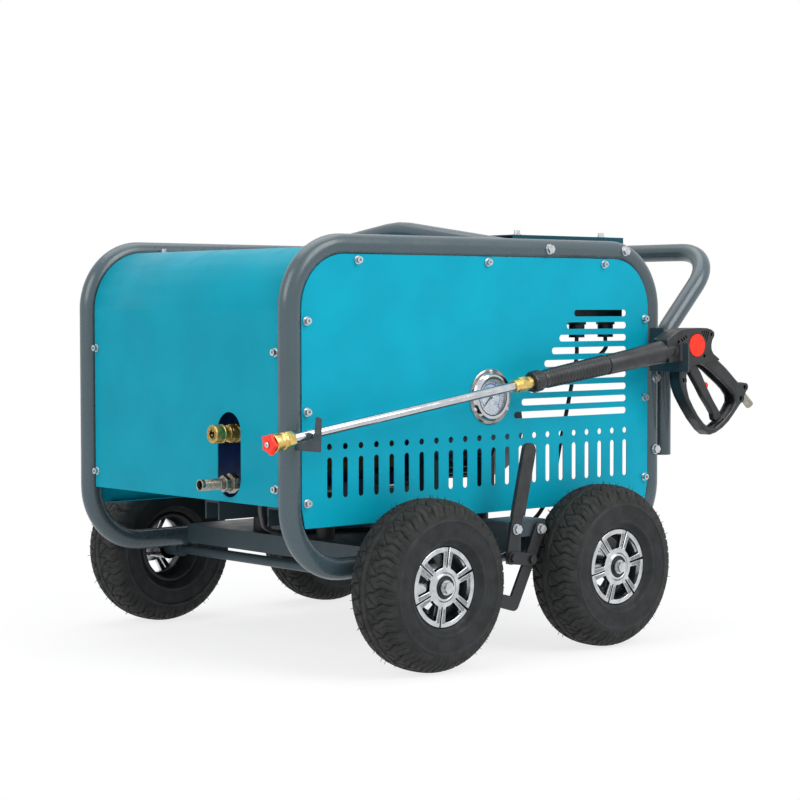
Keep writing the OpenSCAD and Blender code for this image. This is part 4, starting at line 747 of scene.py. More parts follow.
def wheel_frame(axle, side):
    """Takes a wheel from its own axis to its axle, its outer side to -Y for side -1 and to +Y for side 1."""
    turn = Matrix(((1, 0, 0, 0), (0, 0, side, 0), (0, 1, 0, 0), (0, 0, 0, 1)))
    return Matrix.Translation(at(AXLE_X_MM[axle], side * WHEEL_Y_MM, TYRE_R)) @ turn


def place_wheel_part(mesh, name, finishes, replaced, key):
    """Puts a copy of a wheel mesh on its axle, riding on its wheel."""
    axle, side, _ = WHEELS[key]
    own = mesh.copy()
    own.transform(wheel_frame(axle, side))
    if side > 0:
        own.flip_normals()
    return piece(name, own, finishes, "wheel_" + key, replaced)


# ---- tubes, cables and plates ----


def bent(points, radii, step=0.14):
    """The corners of a route in mm turned into arcs of their own radius; 0 keeps a point."""
    route = [Vector(p) for p in points]
    out = [route[0]]
    for before, corner, after, r in zip(route, route[1:], route[2:], radii):
        a, b = (before - corner).normalized(), (after - corner).normalized()
        angle = a.angle(b)
        if r <= 0 or math.pi - angle < 0.01:
            out.append(corner)
            continue
        cut = r / math.tan(angle / 2)
        centre = corner + (a + b).normalized() * (r / math.sin(angle / 2))
        start = corner + a * cut - centre
        axis = start.cross(corner + b * cut - centre)
        turn = math.pi - angle
        steps = max(2, int(turn / step))
        out += [centre + Matrix.Rotation(turn * k / steps, 3, axis) @ start for k in range(steps + 1)]
    return out + [route[-1]]


def flowing(points, steps=8):
    """A Catmull-Rom line through points given in mm."""
    route = [Vector(p) for p in points]
    ends = [route[0] * 2 - route[1]] + route + [route[-1] * 2 - route[-2]]
    out = []
    for a, b, c, d in zip(ends, ends[1:], ends[2:], ends[3:]):
        for k in range(steps):
            t = k / steps
            square, cube = 2 * a - 5 * b + 4 * c - d, 3 * b - a - 3 * c + d
            out.append(0.5 * (2 * b + (c - a) * t + square * t * t + cube * t ** 3))
    return out + [route[-1]]


def tube(name, route, radius, wall=0.0, sides=8):
    """A round tube or cord along a route in mm of the post frame; a wall leaves its ends open."""
    curve = bpy.data.curves.new(name, "CURVE")
    curve.dimensions = "3D"
    curve.bevel_depth = radius / 1000
    curve.bevel_resolution = sides
    curve.use_fill_caps = wall == 0
    curve.twist_mode = "MINIMUM"
    spline = curve.splines.new("POLY")
    spline.points.add(len(route) - 1)
    for target, p in zip(spline.points, route):
        target.co = (*at(*p), 1)
    mesh = baked(name, curve, wall)
    shade_smooth(mesh, 40)
    return mesh


def joined(name, parts):
    """One mesh out of (mesh, matrix, material) parts."""
    bm = bmesh.new()
    for mesh, matrix, material in parts:
        add_mesh(bm, mesh, matrix, material)
    return made(name, bm)


def upper_half(mesh):
    """Cuts a slab at its middle plane and keeps the upper part, whose lower edge is then square."""
    bm = bmesh.new()
    bm.from_mesh(mesh)
    everything = list(bm.verts) + list(bm.edges) + list(bm.faces)
    bmesh.ops.bisect_plane(bm, geom=everything, plane_co=(0, 0, 0), plane_no=(0, 0, 1), clear_inner=True)
    return made(mesh.name, bm)


def flat_shaded(obj, angle=35):
    """Keeps flat fields flat beside their rounded edges."""
    shade_smooth(obj.data, angle)
    even = obj.modifiers.new("even normals", "WEIGHTED_NORMAL")
    even.keep_sharp = True
    return obj


def obround(x, y, degrees, length, width, steps=6):
    """Outline of a slot with round ends, in mm."""
    turn = Matrix.Rotation(math.radians(degrees), 2)
    run = (length - width) / 2
    out = []
    for side in (1, -1):
        for k in range(steps + 1):
            a = math.pi * (k / steps - 0.5)
            point = Vector((run + width / 2 * math.cos(a), width / 2 * math.sin(a)))
            out.append(turn @ (side * point))
    return [(x + p.x, y + p.y) for p in out]


def disc(x, y, r, steps):
    """Outline of a round hole or plate, in mm."""
    return [(x + dx, y + dy) for dx, dy in arc(r, 0, 360, steps)[:-1]]


# the cable from the control box to the pump's pressure switch, and the one to the motor's terminals
SWITCH_ROUTE = [
    (657, -229, 517), (657, -229, 499), (657, -229, 473), (645, -233, 440), (617, -231, 330),
    (591, -229, 240), (547, -217, 190), (465, -184, 184.8), (400, -115, 184.8), (325, -55, 184.8),
    (250, -26, 184.8),
    (193, -9, 185.8), (140, -28, 199), (96, -76, 222), (56, -125, 244), (36, -158, 272), (44, -176, 310),
    (74, -180, 326), (92, -162, 338), (92, -162, 345), (92, -162, 352.7),
]
MOTOR_ROUTE = [
    (728, -229, 517), (728, -229, 501), (728, -229, 485), (712, -213, 467), (658, -169, 443),
    (610, -104, 451), (604, -12, 469), (582, 0, 467), (570.1, 0, 467),
]
HOSE_ROUTE = [
    (400, -251.6, 412.7), (400, -222, 412.7), (384, -182, 396.7), (346, -130, 359),
    (320, -126, 357), (310.1, -126, 357),
]
CABLE_R = 3.5

# ---- lance and gun: u runs along the lance, v up from its axis ----

LANCE = Matrix.Translation(at(0, -322, 369.7)) @ spun(-1.2486, "Z") @ spun(-8.4570, "Y")
# from the nut to the gun everything is counted back from the rest that the gun lies in
REST = LANCE @ moved(0.46, 0, 0)
# plates of the gun stand in its u-v plane, their thickness towards the near side
GUN = REST @ spun(90, "X")
# turned parts have their axis along u
TURNED = REST @ spun(90, "Y")
NOZZLE = LANCE @ spun(90, "Y")
GUN_OUTLINE = [
    (756, 20), (770, 25), (786, 30.5), (800, 31.5), (820, 30.5), (840, 28), (859, 24.5), (869, 20.5),
    (876, 15), (875, 8), (869, 2), (865.5, -6), (865, -14), (869, -22), (880, -31), (892, -42),
    (905, -54), (916, -66), (925, -76), (932, -83), (941, -84.5), (950, -87), (955, -93), (953, -100),
    (947, -107), (941, -115), (928, -125), (913, -136), (897, -147), (880, -155), (862, -160), (846, -161),
    (833, -150), (816, -128), (801, -103), (791, -84), (785.5, -68), (784, -52), (786, -38), (792, -21),
    (756, -20),
]
# the thick part of the shell, above the finger hole
GUN_BODY = GUN_OUTLINE[:15] + [(884, -35.5), (850, -34), (828, -34), (806, -34)] + GUN_OUTLINE[-2:]
FINGER_HOLE = [
    (820, -36), (812, -40), (803, -46), (800, -57), (800, -70), (803, -87), (811, -104), (822, -123),
    (834, -138), (846, -147), (860, -150.5), (882, -142), (905, -128), (918, -115), (918, -105),
    (909, -92), (897, -80), (880, -65), (866, -52), (850, -40), (838, -34),
]
# the finger hole with the slot that the trigger swings in
TRENCH = [(810.5, -31)] + FINGER_HOLE[1:10] + [
    (862, -152), (884, -146), (908, -131), (924, -116), (926, -105), (917, -90), (903, -76), (886, -60),
    (868, -46), (852, -34), (838, -25), (830, -21), (822, -19.5), (814, -22.5),
]
TRIGGER = [
    (813.5, -31), (815.5, -25.5), (822, -22.6), (829, -25.5), (832, -33), (839, -40), (846, -51), (857, -77),
    (870, -103), (883, -125), (888, -134), (884, -140), (872, -142), (867, -138), (866, -127), (859, -115),
    (846, -95), (835, -74), (821, -50), (815, -38),
]
# painted shade: a near black sheet behind the vents and screw pockets of the thick part stands for the shade
# inside it
SHADE_CORE = [
    (762, 15), (786, 25), (820, 25.5), (855, 20.5), (871, 12), (861, 0), (860, -18), (868, -29),
    (806, -29), (792, -17), (762, -16),
]
SCREWS_BODY = [(784, 12), (868, 12), (845, -22)]
SCREWS_GRIP = [(792.5, -56), (947, -94), (934, -112)]
BADGE = (828, -0.5, 19.5)
SLOT_HALF = 7.6
BODY_HALF = 18.4
GRIP_HALF = 14.2


def gun_shell_mesh():
    """Two moulded shells with rounded rims, screw pockets and vents, and a near black core between them that
    is painted shade.
    """
    outline = rounded(GUN_OUTLINE, 5)
    hole = rounded(FINGER_HOLE, 5)
    vents = [obround(793 + 5.5 * i, 14 + 2 * i, -52, 7.5, 2.2) for i in range(3)]
    vents += [obround(845 + 4.2 * i, 19 - 2.8 * i, 64, 6.5 + 4 * i, 2) for i in range(4)]
    badge_seat = disc(*BADGE[:2], BADGE[2] + 0.3, 64)
    body_holes = [badge_seat] + vents + [disc(x, y, 2.9, 20) for x, y in SCREWS_BODY]
    grip_holes = [disc(x, y, 2.9, 20) for x, y in SCREWS_GRIP]
    parts = []
    for side in (1, -1):
        side_frame = GUN @ Matrix.Scale(side, 4, (0, 0, 1))
        near = side > 0
        cuts = grip_holes if near else []
        grip = upper_half(slab("grip", [outline, hole] + cuts, 2 * (GRIP_HALF - SLOT_HALF), 4.2, 5))
        cuts, rim = (body_holes, 1.1) if near else ([], 4.2)
        body = upper_half(slab("body", [rounded(GUN_BODY, 4)] + cuts, 2 * (BODY_HALF - SLOT_HALF), rim, 4))
        liner = slab("liner", [outline, hole], 1.2, 0.1, 1)
        parts.append((grip, side_frame @ moved(0, 0, SLOT_HALF), 0))
        parts.append((body, side_frame @ moved(0, 0, SLOT_HALF), 0))
        parts.append((liner, side_frame @ moved(0, 0, SLOT_HALF + 0.6), 0))
    parts.append((slab("core", [outline, rounded(TRENCH, 3)], 2 * SLOT_HALF, 0.2, 1), GUN, 0))
    # painted shade: a near black sheet inside the thick part, seen through its vents and screw pockets
    parts.append((slab("dark", [rounded(SHADE_CORE, 3)], 2, 0.2, 1), GUN @ moved(0, 0, 13.5), 1))
    # painted shade: near black discs at the bottom of the grip's screw pockets
    for x, y in SCREWS_GRIP:
        parts.append((slab("pocket", [disc(x, y, 3.4, 20)], 1, 0.1, 1), GUN @ moved(0, 0, 10.4), 1))
    return joined("gun_shells", parts)


SNOUT = [
    (8.1, 622.6), (15.0, 622.4), (16.2, 623.2), (16.6, 625), (17.6, 680), (18.9, 742), (19.7, 754),
    (20.3, 763), (20.3, 770), (19.8, 776), (18.2, 781.5), (15.2, 786), (11, 788.8), (5.5, 790.2), (0, 790.5),
]


def snout_mesh():
    """Turned cover over the lance: a long cone that ends in a round shoulder on the gun."""
    bm = bmesh.new()
    lathe(bm, SNOUT, 72, matrix=moved(0, 0, -1) @ TURNED)
    return made("snout", bm)


GRIP_BUTT = [(8.2, 473.2), (13.2, 473.2), (14.4, 474.2), (14.6, 481), (14.2, 482.5)]
GRIP_TOP = [(15.2, 621), (15.0, 622.3), (8.2, 622.3)]
GRIP_LINER = [(8.0, 449.8), (10.6, 449.8), (10.9, 450.2), (10.9, 473.5), (8.0, 473.5)]


def grip_mesh():
    """Rubber clad tube with close rounded ribs that grow towards the gun."""
    ribs, start, end = 19, 483.0, 620.0
    clad = []
    for k in range(ribs * 8 + 1):
        t = k / (ribs * 8)
        wave = 0.5 - 0.5 * math.cos(2 * math.pi * ribs * t)
        clad.append((14.2 + 1.6 * t + 1.5 * wave ** 0.8, start + (end - start) * t))
    bm = bmesh.new()
    lathe(bm, GRIP_BUTT + clad + GRIP_TOP, 64, matrix=TURNED)
    lathe(bm, GRIP_LINER, 48, matrix=TURNED)
    return made("lance_grip", bm)


COLLAR = [
    (11.1, 449.8), (14.6, 449.8), (15.9, 450.6), (16.5, 452.5), (16.6, 468.5), (16.0, 470.8),
    (15.2, 471.6), (11.1, 471.6),
]


def collar_mesh():
    """Turning collar with long raised pads for the fingers."""
    bm = bmesh.new()
    lathe(bm, COLLAR, 72, matrix=TURNED)
    pad = slab("pad", [rounded([(-7, -2.1), (7, -2.1), (7, 2.1), (-7, 2.1)], 1.8)], 2.4, 0.8, 3)
    for k in range(12):
        place = moved(0, 0, 461) @ spun(30 * k, "Z") @ moved(16.5, 0, 0) @ spun(90, "Y")
        add_mesh(bm, pad, TURNED @ place, 0)
    return made("collar", bm)


# ---- nozzle, couplers and hose tail, turned runs as (radius, height) ----

OUTLET = Matrix.Translation(at(0, -126, 363)) @ spun(90, "Y")
INLET = Matrix.Translation(at(0, -126, 286)) @ spun(90, "Y")
ELBOW = Matrix.Translation(at(138, -126, 286))

NOZZLE_WAIST = [
    (4.6, -71.4), (10.6, -71.4), (10.2, -70.6), (8.4, -69.6), (8, -68.6), (8, -65.2), (4.6, -65.2),
]
NOZZLE_CORE = [
    (0, -77), (1.2, -77), (1.2, -80.8), (1.5, -81), (3.9, -81), (4.45, -80.5), (4.45, -66), (5, -65.6),
    (5, -48.4), (0, -48),
]
LANCE_COUPLER = [
    (10, -62), (10, -68.4), (10.6, -69), (12.7, -69), (13.5, -68.2), (13.5, -58), (13, -57.2), (12, -56.8),
    (12, -53.4), (12.6, -52.9), (13, -52.2), (13, -47.8), (12.4, -47.1), (10.5, -46.6), (10.5, -33.2),
    (7.4, -33.2),
]
COUPLER_FLOOR = [(5.1, -61.9), (10, -62)]
LANCE_NUT = [
    (7.4, 411.4), (9.6, 411.4), (10.4, 412.4), (10.6, 416.4), (9.8, 417.6), (9.8, 419.6), (10.9, 420.6),
    (11, 425.2),
]
NUT_END = [(10.5, 439), (10.5, 448.6), (7.4, 448.6)]
OUTLET_SOCKET = [
    (0, -13), (7, -13), (7, -36.4), (7.5, -37), (8.7, -37), (8.9, -36.2), (9.4, -36.2), (9.6, -36.9),
    (10, -36.8), (10, -8), (12.4, -8), (13, -7.4), (13, -3.6), (12.4, -3), (11, -3),
]
OUTLET_SLEEVE = [
    (10.1, -36.4), (13.3, -36.4), (14.2, -35.7), (14.5, -34.8), (14.5, -22.8), (13.7, -22.2), (13.7, -20.2),
    (14.5, -19.6), (14.5, -17), (13.8, -16.2), (10.1, -16.2), (10.1, -36.4),
]
HOSE_TAIL_MOUTH = [
    (6.0, 130), (6.0, -50), (7.0, -58), (7.2, -60), (7.7, -60.5), (8.3, -60.4), (8.9, -59.6), (9, -56),
]


def turned(name, profiles, matrix, hexagons=(), balls=()):
    """Turned runs with hexagons (corner radius, from, to) and rings of balls (radius, ring, height)."""
    bm = bmesh.new()
    for profile in profiles:
        lathe(bm, profile, 72, matrix=matrix)
    for r, low, high in hexagons:
        nut = slab("nut", [[polar(r, 60 * k) for k in range(6)]], high - low, 0.7, 2)
        add_mesh(bm, nut, matrix @ moved(0, 0, (low + high) / 2), 0)
    for r, ring, height in balls:
        ball = [(r * math.sin(math.pi * i / 8), -r * math.cos(math.pi * i / 8)) for i in range(9)]
        for k in range(6):
            lathe(bm, ball, 12, matrix=matrix @ moved(*polar(ring, 60 * k + 12), height), material=1)
    mesh = made(name, bm)
    shade_smooth(mesh, 32)
    return mesh


def star_mesh():
    """Five pointed star that turns the nozzle, with a round waist behind it."""
    corners = [polar((12.0, 17.6)[k % 2], 97 + 36 * k) for k in range(10)]
    star = slab("star", [rounded(corners, [6, 2.4] * 5), disc(0, 0, 4.55, 32)], 8.0, 1.7, 3)
    bm = bmesh.new()
    add_mesh(bm, star, NOZZLE @ moved(0, 0, -75), 0)
    lathe(bm, NOZZLE_WAIST, 48, matrix=NOZZLE)
    mesh = made("star", bm)
    shade_smooth(mesh, 40)
    return mesh


def lance_brass_mesh():
    """The nozzle's quick coupler and the nut that ends the lance's tube."""
    coupler = turned("coupler", [LANCE_COUPLER, COUPLER_FLOOR], NOZZLE, [(12.5, -45.4, -33)])
    nut = turned("nut", [LANCE_NUT, NUT_END], TURNED, [(12.0, 425.2, 439.4)])
    brass = joined("lance_brass", [(coupler, Matrix.Identity(4), 0), (nut, Matrix.Identity(4), 0)])
    shade_smooth(brass, 32)
    return brass


def hose_tail_mesh():
    """Ribbed hose tail with its hexagons, and the elbow it screws into."""
    ribs = [(8.95 - 0.45 * (k % 2), -55 + 1.4 * k) for k in range(24)]
    runs = [HOSE_TAIL_MOUTH + ribs + [(8.6, -17.4)], [(11, -8.4), (11, -4.6)], [(10, 6.6), (10, 136)]]
    stub = turned("hose_tail", runs, INLET, [(13.5, -17, -8), (16, -5, 7)])
    elbow = turned("elbow", [[(11, -10), (11, 10.8)]], ELBOW)
    nickel = joined("hose_tail", [(stub, Matrix.Identity(4), 0), (elbow, Matrix.Identity(4), 0)])
    shade_smooth(nickel, 32)
    return nickel


# ---- gauge: x across, y up and z out of the panel ----

GAUGE_Y_MM = -284
GAUGE = Matrix.Translation(at(400, GAUGE_Y_MM, 412.7)) @ spun(90, "X")
FLANGE = [(38.2, 2.0), (39.2, 2.95), (43.9, 2.6), (44.9, 1.9), (44.9, 1.2)]
GASKET = [(29.2, 7.6), (29.2, 8.25), (30.4, 8.55), (31.0, 8.3)]
SCREW_HEAD = [(3.9, 2.2), (3.9, 3.2), (3.3, 4.4), (2.0, 5.1), (0.9, 5.3), (0.8, 4.4), (0, 4.4)]
POINTER = [(-9, -2.0), (0, -1.7), (21.5, -0.8), (23, 0), (21.5, 0.8), (0, 1.7), (-9, 2.0)]
HUB = [(3.6, 2.2), (3.6, 3.2), (3.2, 3.6), (0, 3.7)]
# the scale starts at this angle and runs this far clockwise, in degrees
SCALE_START = 225
SCALE_SWEEP = 270
TICKS = 50


def dial_print():
    """Ticks, numbers and a blue band over three quarters of the dial."""
    parts = []
    for k in range(TICKS + 1):
        long = k % 10 == 0
        inner = 22.2 if long else (23.8 if k % 5 == 0 else 24.6)
        width = 0.6 if long else 0.3
        mark = slab("tick", [[(inner, -width), (26.6, -width), (26.6, width), (inner, width)]], 0.1, 0.01, 1)
        parts.append((mark, spun(SCALE_START - SCALE_SWEEP * k / TICKS, "Z"), 0))
    last = SCALE_START - SCALE_SWEEP
    band = arc(21.8, last, SCALE_START, 60) + arc(19.9, SCALE_START, last, 60)
    parts.append((slab("band", [band], 0.1, 0.01, 1), Matrix.Identity(4), 1))
    for k in range(6):
        text = bpy.data.curves.new("number", "FONT")
        text.body = str(5 * k)
        text.size = 0.0072
        text.align_x, text.align_y = "CENTER", "CENTER"
        parts.append((baked("number", text), moved(*polar(15.8, SCALE_START - SCALE_SWEEP * k / 5), 0), 0))
    return joined("dial_print", parts)


def flange_mesh():
    """The flange's polished face, and the black gasket inside the bezel."""
    bm = bmesh.new()
    lathe(bm, FLANGE, 96, matrix=GAUGE)
    lathe(bm, GASKET, 96, matrix=GAUGE, material=1)
    mesh = made("gauge_flange", bm)
    shade_smooth(mesh, 32)
    return mesh


def needle_mesh():
    """Flat pointer with a tail, on its hub, at the start of the scale."""
    pointer = slab("pointer", [POINTER], 0.8, 0.2)
    hub = turned("hub", [HUB], GAUGE)
    lay = GAUGE @ spun(-135, "Z") @ moved(0, 0, 2.8)
    return joined("bold_needle", [(pointer, lay, 0), (hub, Matrix.Identity(4), 0)])


def flange_screws_mesh():
    """Three round headed screws in the flange."""
    bm = bmesh.new()
    for a in (90, 210, 330):
        lathe(bm, SCREW_HEAD, 28, matrix=GAUGE @ moved(*polar(40.5, a), 0))
    return made("gauge_screws", bm)


# ---- the operators ----


def colour_setting(name, description, code):
    """A colour that the user can change, with a hex code as its default."""
    return bpy.props.FloatVectorProperty(
        name=name, description=description, default=srgb(code), size=4, min=0.0, max=1.0, subtype="COLOR"
    )


class WASHER_PG_finish(bpy.types.PropertyGroup):
    """Sizes and colours of the dressing."""

    edge_round: bpy.props.FloatProperty(
        name="Edge rounding",
        description="Radius at which the sheet metal's cut edges are eased",
        default=0.0005,
        min=0.0,
        max=0.003,
        unit="LENGTH",
        subtype="DISTANCE",
    )
    panel_colour: colour_setting("Panel colour", "Powder colour of the two side panels", "#029ab4")
    # painted shade: the cover's teal is deeper than the panels' to stand for the shade on that end
    cover_colour: colour_setting("Cover colour", "Powder colour of the rolled cover, deepened as painted shade", "#028aa0")
    frame_colour: colour_setting("Frame colour", "Powder colour of the bent tubes", "#3c4d54")


VIEW_LENS_MM = 93.447
# where the camera stands, from the uprights, and where it looks, in radians
VIEW_PLACE_MM = (-1904.3957, -2710.8993, 556.3639)
VIEW_YAW, VIEW_PITCH, VIEW_ROLL = 0.8545139988, -0.0444436233, -0.0015797390


def seen_directly(tree):
    """1 for rays from the camera, from gloss and through glass, 0 for the light that fills the scene."""
    path = put(tree, "ShaderNodeLightPath")
    rays = {0: path.outputs["Is Camera Ray"], 1: path.outputs["Is Glossy Ray"]}
    seen = put(tree, "ShaderNodeMath", rays, operation="MAXIMUM").outputs[0]
    rays = {0: seen, 1: path.outputs["Is Transmission Ray"]}
    return put(tree, "ShaderNodeMath", rays, operation="MAXIMUM").outputs[0]


def seamless_paper():
    """Seamless white paper: it takes the shadow near the object and fades to white around it."""
    mat = bpy.data.materials.new("seamless white paper")
    mat.use_nodes = True
    tree = mat.node_tree
    tree.nodes.clear()
    coords = put(tree, "ShaderNodeTexCoord").outputs["Object"]
    grain = put(tree, "ShaderNodeTexNoise", {"Vector": coords, "Scale": 60.0}).outputs[0]
    tones = {0: grain, 6: srgb("#f6f6f6"), 7: srgb("#fbfbfb")}
    tone = put(tree, "ShaderNodeMix", tones, data_type="RGBA").outputs[2]
    paper = put(tree, "ShaderNodeBsdfDiffuse", {"Color": tone}).outputs[0]
    glow = put(tree, "ShaderNodeEmission", {"Color": (1, 1, 1, 1), "Strength": 1.0}).outputs[0]
    far = put(tree, "ShaderNodeVectorMath", {0: coords}, operation="LENGTH").outputs["Value"]
    span = {"Value": far, "From Min": 0.4, "From Max": 1.3, "To Min": 0.78, "To Max": 1.0}
    fade = put(tree, "ShaderNodeMapRange", span, interpolation_type="SMOOTHSTEP").outputs[0]
    share = put(tree, "ShaderNodeMath", {0: seen_directly(tree), 1: fade}, operation="MULTIPLY").outputs[0]
    mixed = put(tree, "ShaderNodeMixShader", {0: share, 1: paper, 2: glow}).outputs[0]
    put(tree, "ShaderNodeOutputMaterial", {"Surface": mixed})
    return mat


class WASHER_OT_stage(bpy.types.Operator):
    """Builds the pale floor, the soft lights, the white surround and the camera"""

    bl_idname = "washer.stage"
    bl_label = "Studio stage"

    def execute(self, context):
        scene = context.scene
        scene.view_settings.view_transform = "Standard"
        bm = bmesh.new()
        bmesh.ops.create_grid(bm, x_segments=4, y_segments=4, size=9.0)
        floor = bpy.data.objects.new("studio_floor", made("studio_floor", bm))
        scene.collection.objects.link(floor)
        floor.data.materials.append(seamless_paper())
        self.surround(scene)
        self.lamp("key_light", (0.9, -3.4, 3.2), 2.6, 105)
        self.lamp("end_light", (-3.6, -0.2, 2.4), 2.4, 60)
        self.lamp("top_light", (0.2, 0.6, 3.6), 3.0, 55)
        self.camera(scene)
        return {"FINISHED"}

    def surround(self, scene):
        """A world that lights softly and looks white."""
        world = bpy.data.worlds.new("white studio")
        world.use_nodes = True
        tree = world.node_tree
        tree.nodes.clear()
        soft = put(tree, "ShaderNodeBackground", {"Color": (1, 1, 1, 1), "Strength": 0.55}).outputs[0]
        white = put(tree, "ShaderNodeBackground", {"Color": (1, 1, 1, 1), "Strength": 1.0}).outputs[0]
        mixed = put(tree, "ShaderNodeMixShader", {0: seen_directly(tree), 1: soft, 2: white}).outputs[0]
        put(tree, "ShaderNodeOutputWorld", {"Surface": mixed})
        scene.world = world

    def lamp(self, name, place, size, watts):
        """A square soft box aimed at the middle of the object."""
        light = bpy.data.lights.new(name, "AREA")
        light.size = size
        light.energy = watts
        obj = bpy.data.objects.new(name, light)
        bpy.context.scene.collection.objects.link(obj)
        obj.location = place
        obj.rotation_euler = (Vector((0, 0, 0.3)) - Vector(place)).to_track_quat("-Z", "Y").to_euler()

    def camera(self, scene):
        """Long lens at standing height, looking at the hose end and the lance side."""
        data = bpy.data.cameras.new("view")
        data.sensor_width = 36.0
        data.lens = VIEW_LENS_MM
        data.clip_end = 50
        cam = bpy.data.objects.new("view", data)
        scene.collection.objects.link(cam)
        level = math.cos(VIEW_PITCH)
        ahead = Vector((level * math.cos(VIEW_YAW), level * math.sin(VIEW_YAW), math.sin(VIEW_PITCH)))
        right = Vector((math.sin(VIEW_YAW), -math.cos(VIEW_YAW), 0))
        up = right.cross(ahead)
        rolled_right = right * math.cos(VIEW_ROLL) + up * math.sin(VIEW_ROLL)
        rolled_up = up * math.cos(VIEW_ROLL) - right * math.sin(VIEW_ROLL)
        place = at(*VIEW_PLACE_MM)
        rows = [(rolled_right[i], rolled_up[i], -ahead[i], place[i]) for i in range(3)]
        cam.matrix_world = Matrix(rows + [(0, 0, 0, 1)])
        scene.camera = cam


class WASHER_OT_solids(bpy.types.Operator):
    """Eases the cut sheets' edges and gives every solid of the part its real finish"""

    bl_idname = "washer.solids"
    bl_label = "Paint the solids"

    def execute(self, context):
        for name in CUT_SHEETS:
            ease(NODES[name], chosen().edge_round)
        left = set(NODES)
        for key, names in WEARS.items():
            for name in names:
                obj = NODES[name]
                obj.data.materials.clear()
                obj.data.materials.append(finish(key))
                left.discard(name)
        if left:
            raise RuntimeError(f"no finish for {sorted(left)}")
        return {"FINISHED"}


class WASHER_OT_tyres(bpy.types.Operator):
    """Moulds the four tyres: zigzag ribs, blocks, notched shoulders, ringed sidewalls and vent hairs"""

    bl_idname = "washer.tyres"
    bl_label = "Tyres"

    def execute(self, context):
        mesh = tyre_mesh()
        for key in WHEELS:
            name = "moulded_tyre_" + key
            place_wheel_part(mesh, name, ["tread", "wall"], ["tyre_" + key], key)
        return {"FINISHED"}


class WASHER_OT_rims(bpy.types.Operator):
    """Casts and polishes the four rims with their slotted spokes, dark barrels, bearing seals and valves"""

    bl_idname = "washer.rims"
    bl_label = "Rims"

    def execute(self, context):
        finishes = ["alloy", "satin", "barrel", "rubber"]
        for key, (_, _, phase) in WHEELS.items():
            place_wheel_part(rim_mesh(phase), "cast_rim_" + key, finishes, ["rim_" + key], key)
        return {"FINISHED"}


# the push handle's near leg, which the far leg mirrors, and the radius of each of its bends
HANDLE_LEG = [(835, -264, 298), (835, -264, 505), (982.2, -264, 656.2)]
HANDLE_BENDS = [60, 85, 85, 60]
HANDLE_WALL = 2.5
# the plates that bolt the handle's legs to the uprights
PLATE_OUTLINE = [(-63, -78), (-6, -78), (-6, 78), (-63, 78)]
PLATE_THICK = 4
PLATE_Y_MM = 252.8
LIFT_ROUTE = [(455, -262, 653.4), (455, 0, 690), (455, 262, 653.4)]
LIFT_BEND = 200
BAR_R = 16


class WASHER_OT_bars(bpy.types.Operator):
    """Bends the push handle with its bolting plates and the lift bar"""

    bl_idname = "washer.bars"
    bl_label = "Handle and lift bar"

    def execute(self, context):
        route = HANDLE_LEG + [(x, -y, z) for x, y, z in reversed(HANDLE_LEG)]
        handle = tube("bent_handle", bent(route, HANDLE_BENDS), BAR_R, HANDLE_WALL)
        parts = [(handle, Matrix.Identity(4), 0)]
        for side in (-1, 1):
            plate = slab("plate", [rounded(PLATE_OUTLINE, 5)], PLATE_THICK, 0.8)
            place = Matrix.Translation(at(835, side * PLATE_Y_MM, 372.7)) @ spun(90, "X")
            parts.append((plate, place, 0))
        mesh = joined("bent_handle", parts)
        flat_shaded(piece("bent_handle", mesh, ["frame"], "machine", ["push_handle"]))
        lift = tube("bent_lift_bar", bent(LIFT_ROUTE, [LIFT_BEND]), BAR_R)
        piece("bent_lift_bar", lift, ["frame"], "machine", ["lift_bar"])
        return {"FINISHED"}


class WASHER_OT_gun(bpy.types.Operator):
    """Moulds the gun's shells and snout, its trigger, the lance's ribbed grip and its turning collar"""

    bl_idname = "washer.gun"
    bl_label = "Gun and grip"

    def execute(self, context):
        shells = gun_shell_mesh()
        flat_shaded(piece("moulded_gun", shells, ["gun", "inside"], "spray_gun", ["gun_shell"]))
        piece("moulded_snout", snout_mesh(), ["gun"], "spray_gun")
        plate = slab("trigger", [rounded(TRIGGER, 3.5)], 13.4, 3.2, 4)
        trigger = joined("moulded_trigger", [(plate, GUN, 0)])
        flat_shaded(piece("moulded_trigger", trigger, ["gun"], "trigger", ["trigger"]))
        piece("moulded_grip", grip_mesh(), ["gun"], "spray_gun", ["lance_grip"])
        collar = collar_mesh()
        flat_shaded(piece("moulded_collar", collar, ["gun"], "lance_sleeve", ["lance_sleeve"]))
        return {"FINISHED"}


class WASHER_OT_fittings(bpy.types.Operator):
    """Turns the red nozzle, the lance's coupler and nut, the outlet's coupler and the ribbed hose tail"""

    bl_idname = "washer.fittings"
    bl_label = "Nozzle and fittings"

    def execute(self, context):
        piece("nozzle_star", star_mesh(), ["red"], "spray_nozzle", ["spray_nozzle"])
        core = turned("nozzle_core", [NOZZLE_CORE], NOZZLE)
        piece("nozzle_core", core, ["zinc"], "spray_nozzle")
        piece("lance_brass", lance_brass_mesh(), ["brass"], "spray_gun", ["lance_fittings"])
        runs = [OUTLET_SOCKET, [(11, 5), (11, 9.4)], [(8.5, 16), (8.5, 77)]]
        outlet = turned("outlet_socket", runs, OUTLET, [(14.5, -4, 6), (14.5, 9, 17)], [(1.7, 6.6, -31)])
        piece("outlet_socket", outlet, ["used", "zinc"], "machine", ["outlet_coupler"])
        sleeve = turned("outlet_sleeve", [OUTLET_SLEEVE], OUTLET)
        piece("outlet_sleeve", sleeve, ["used"], "coupler_sleeve", ["coupler_sleeve"])
        piece("hose_tail", hose_tail_mesh(), ["nickel"], "machine", ["inlet_tail"])
        return {"FINISHED"}


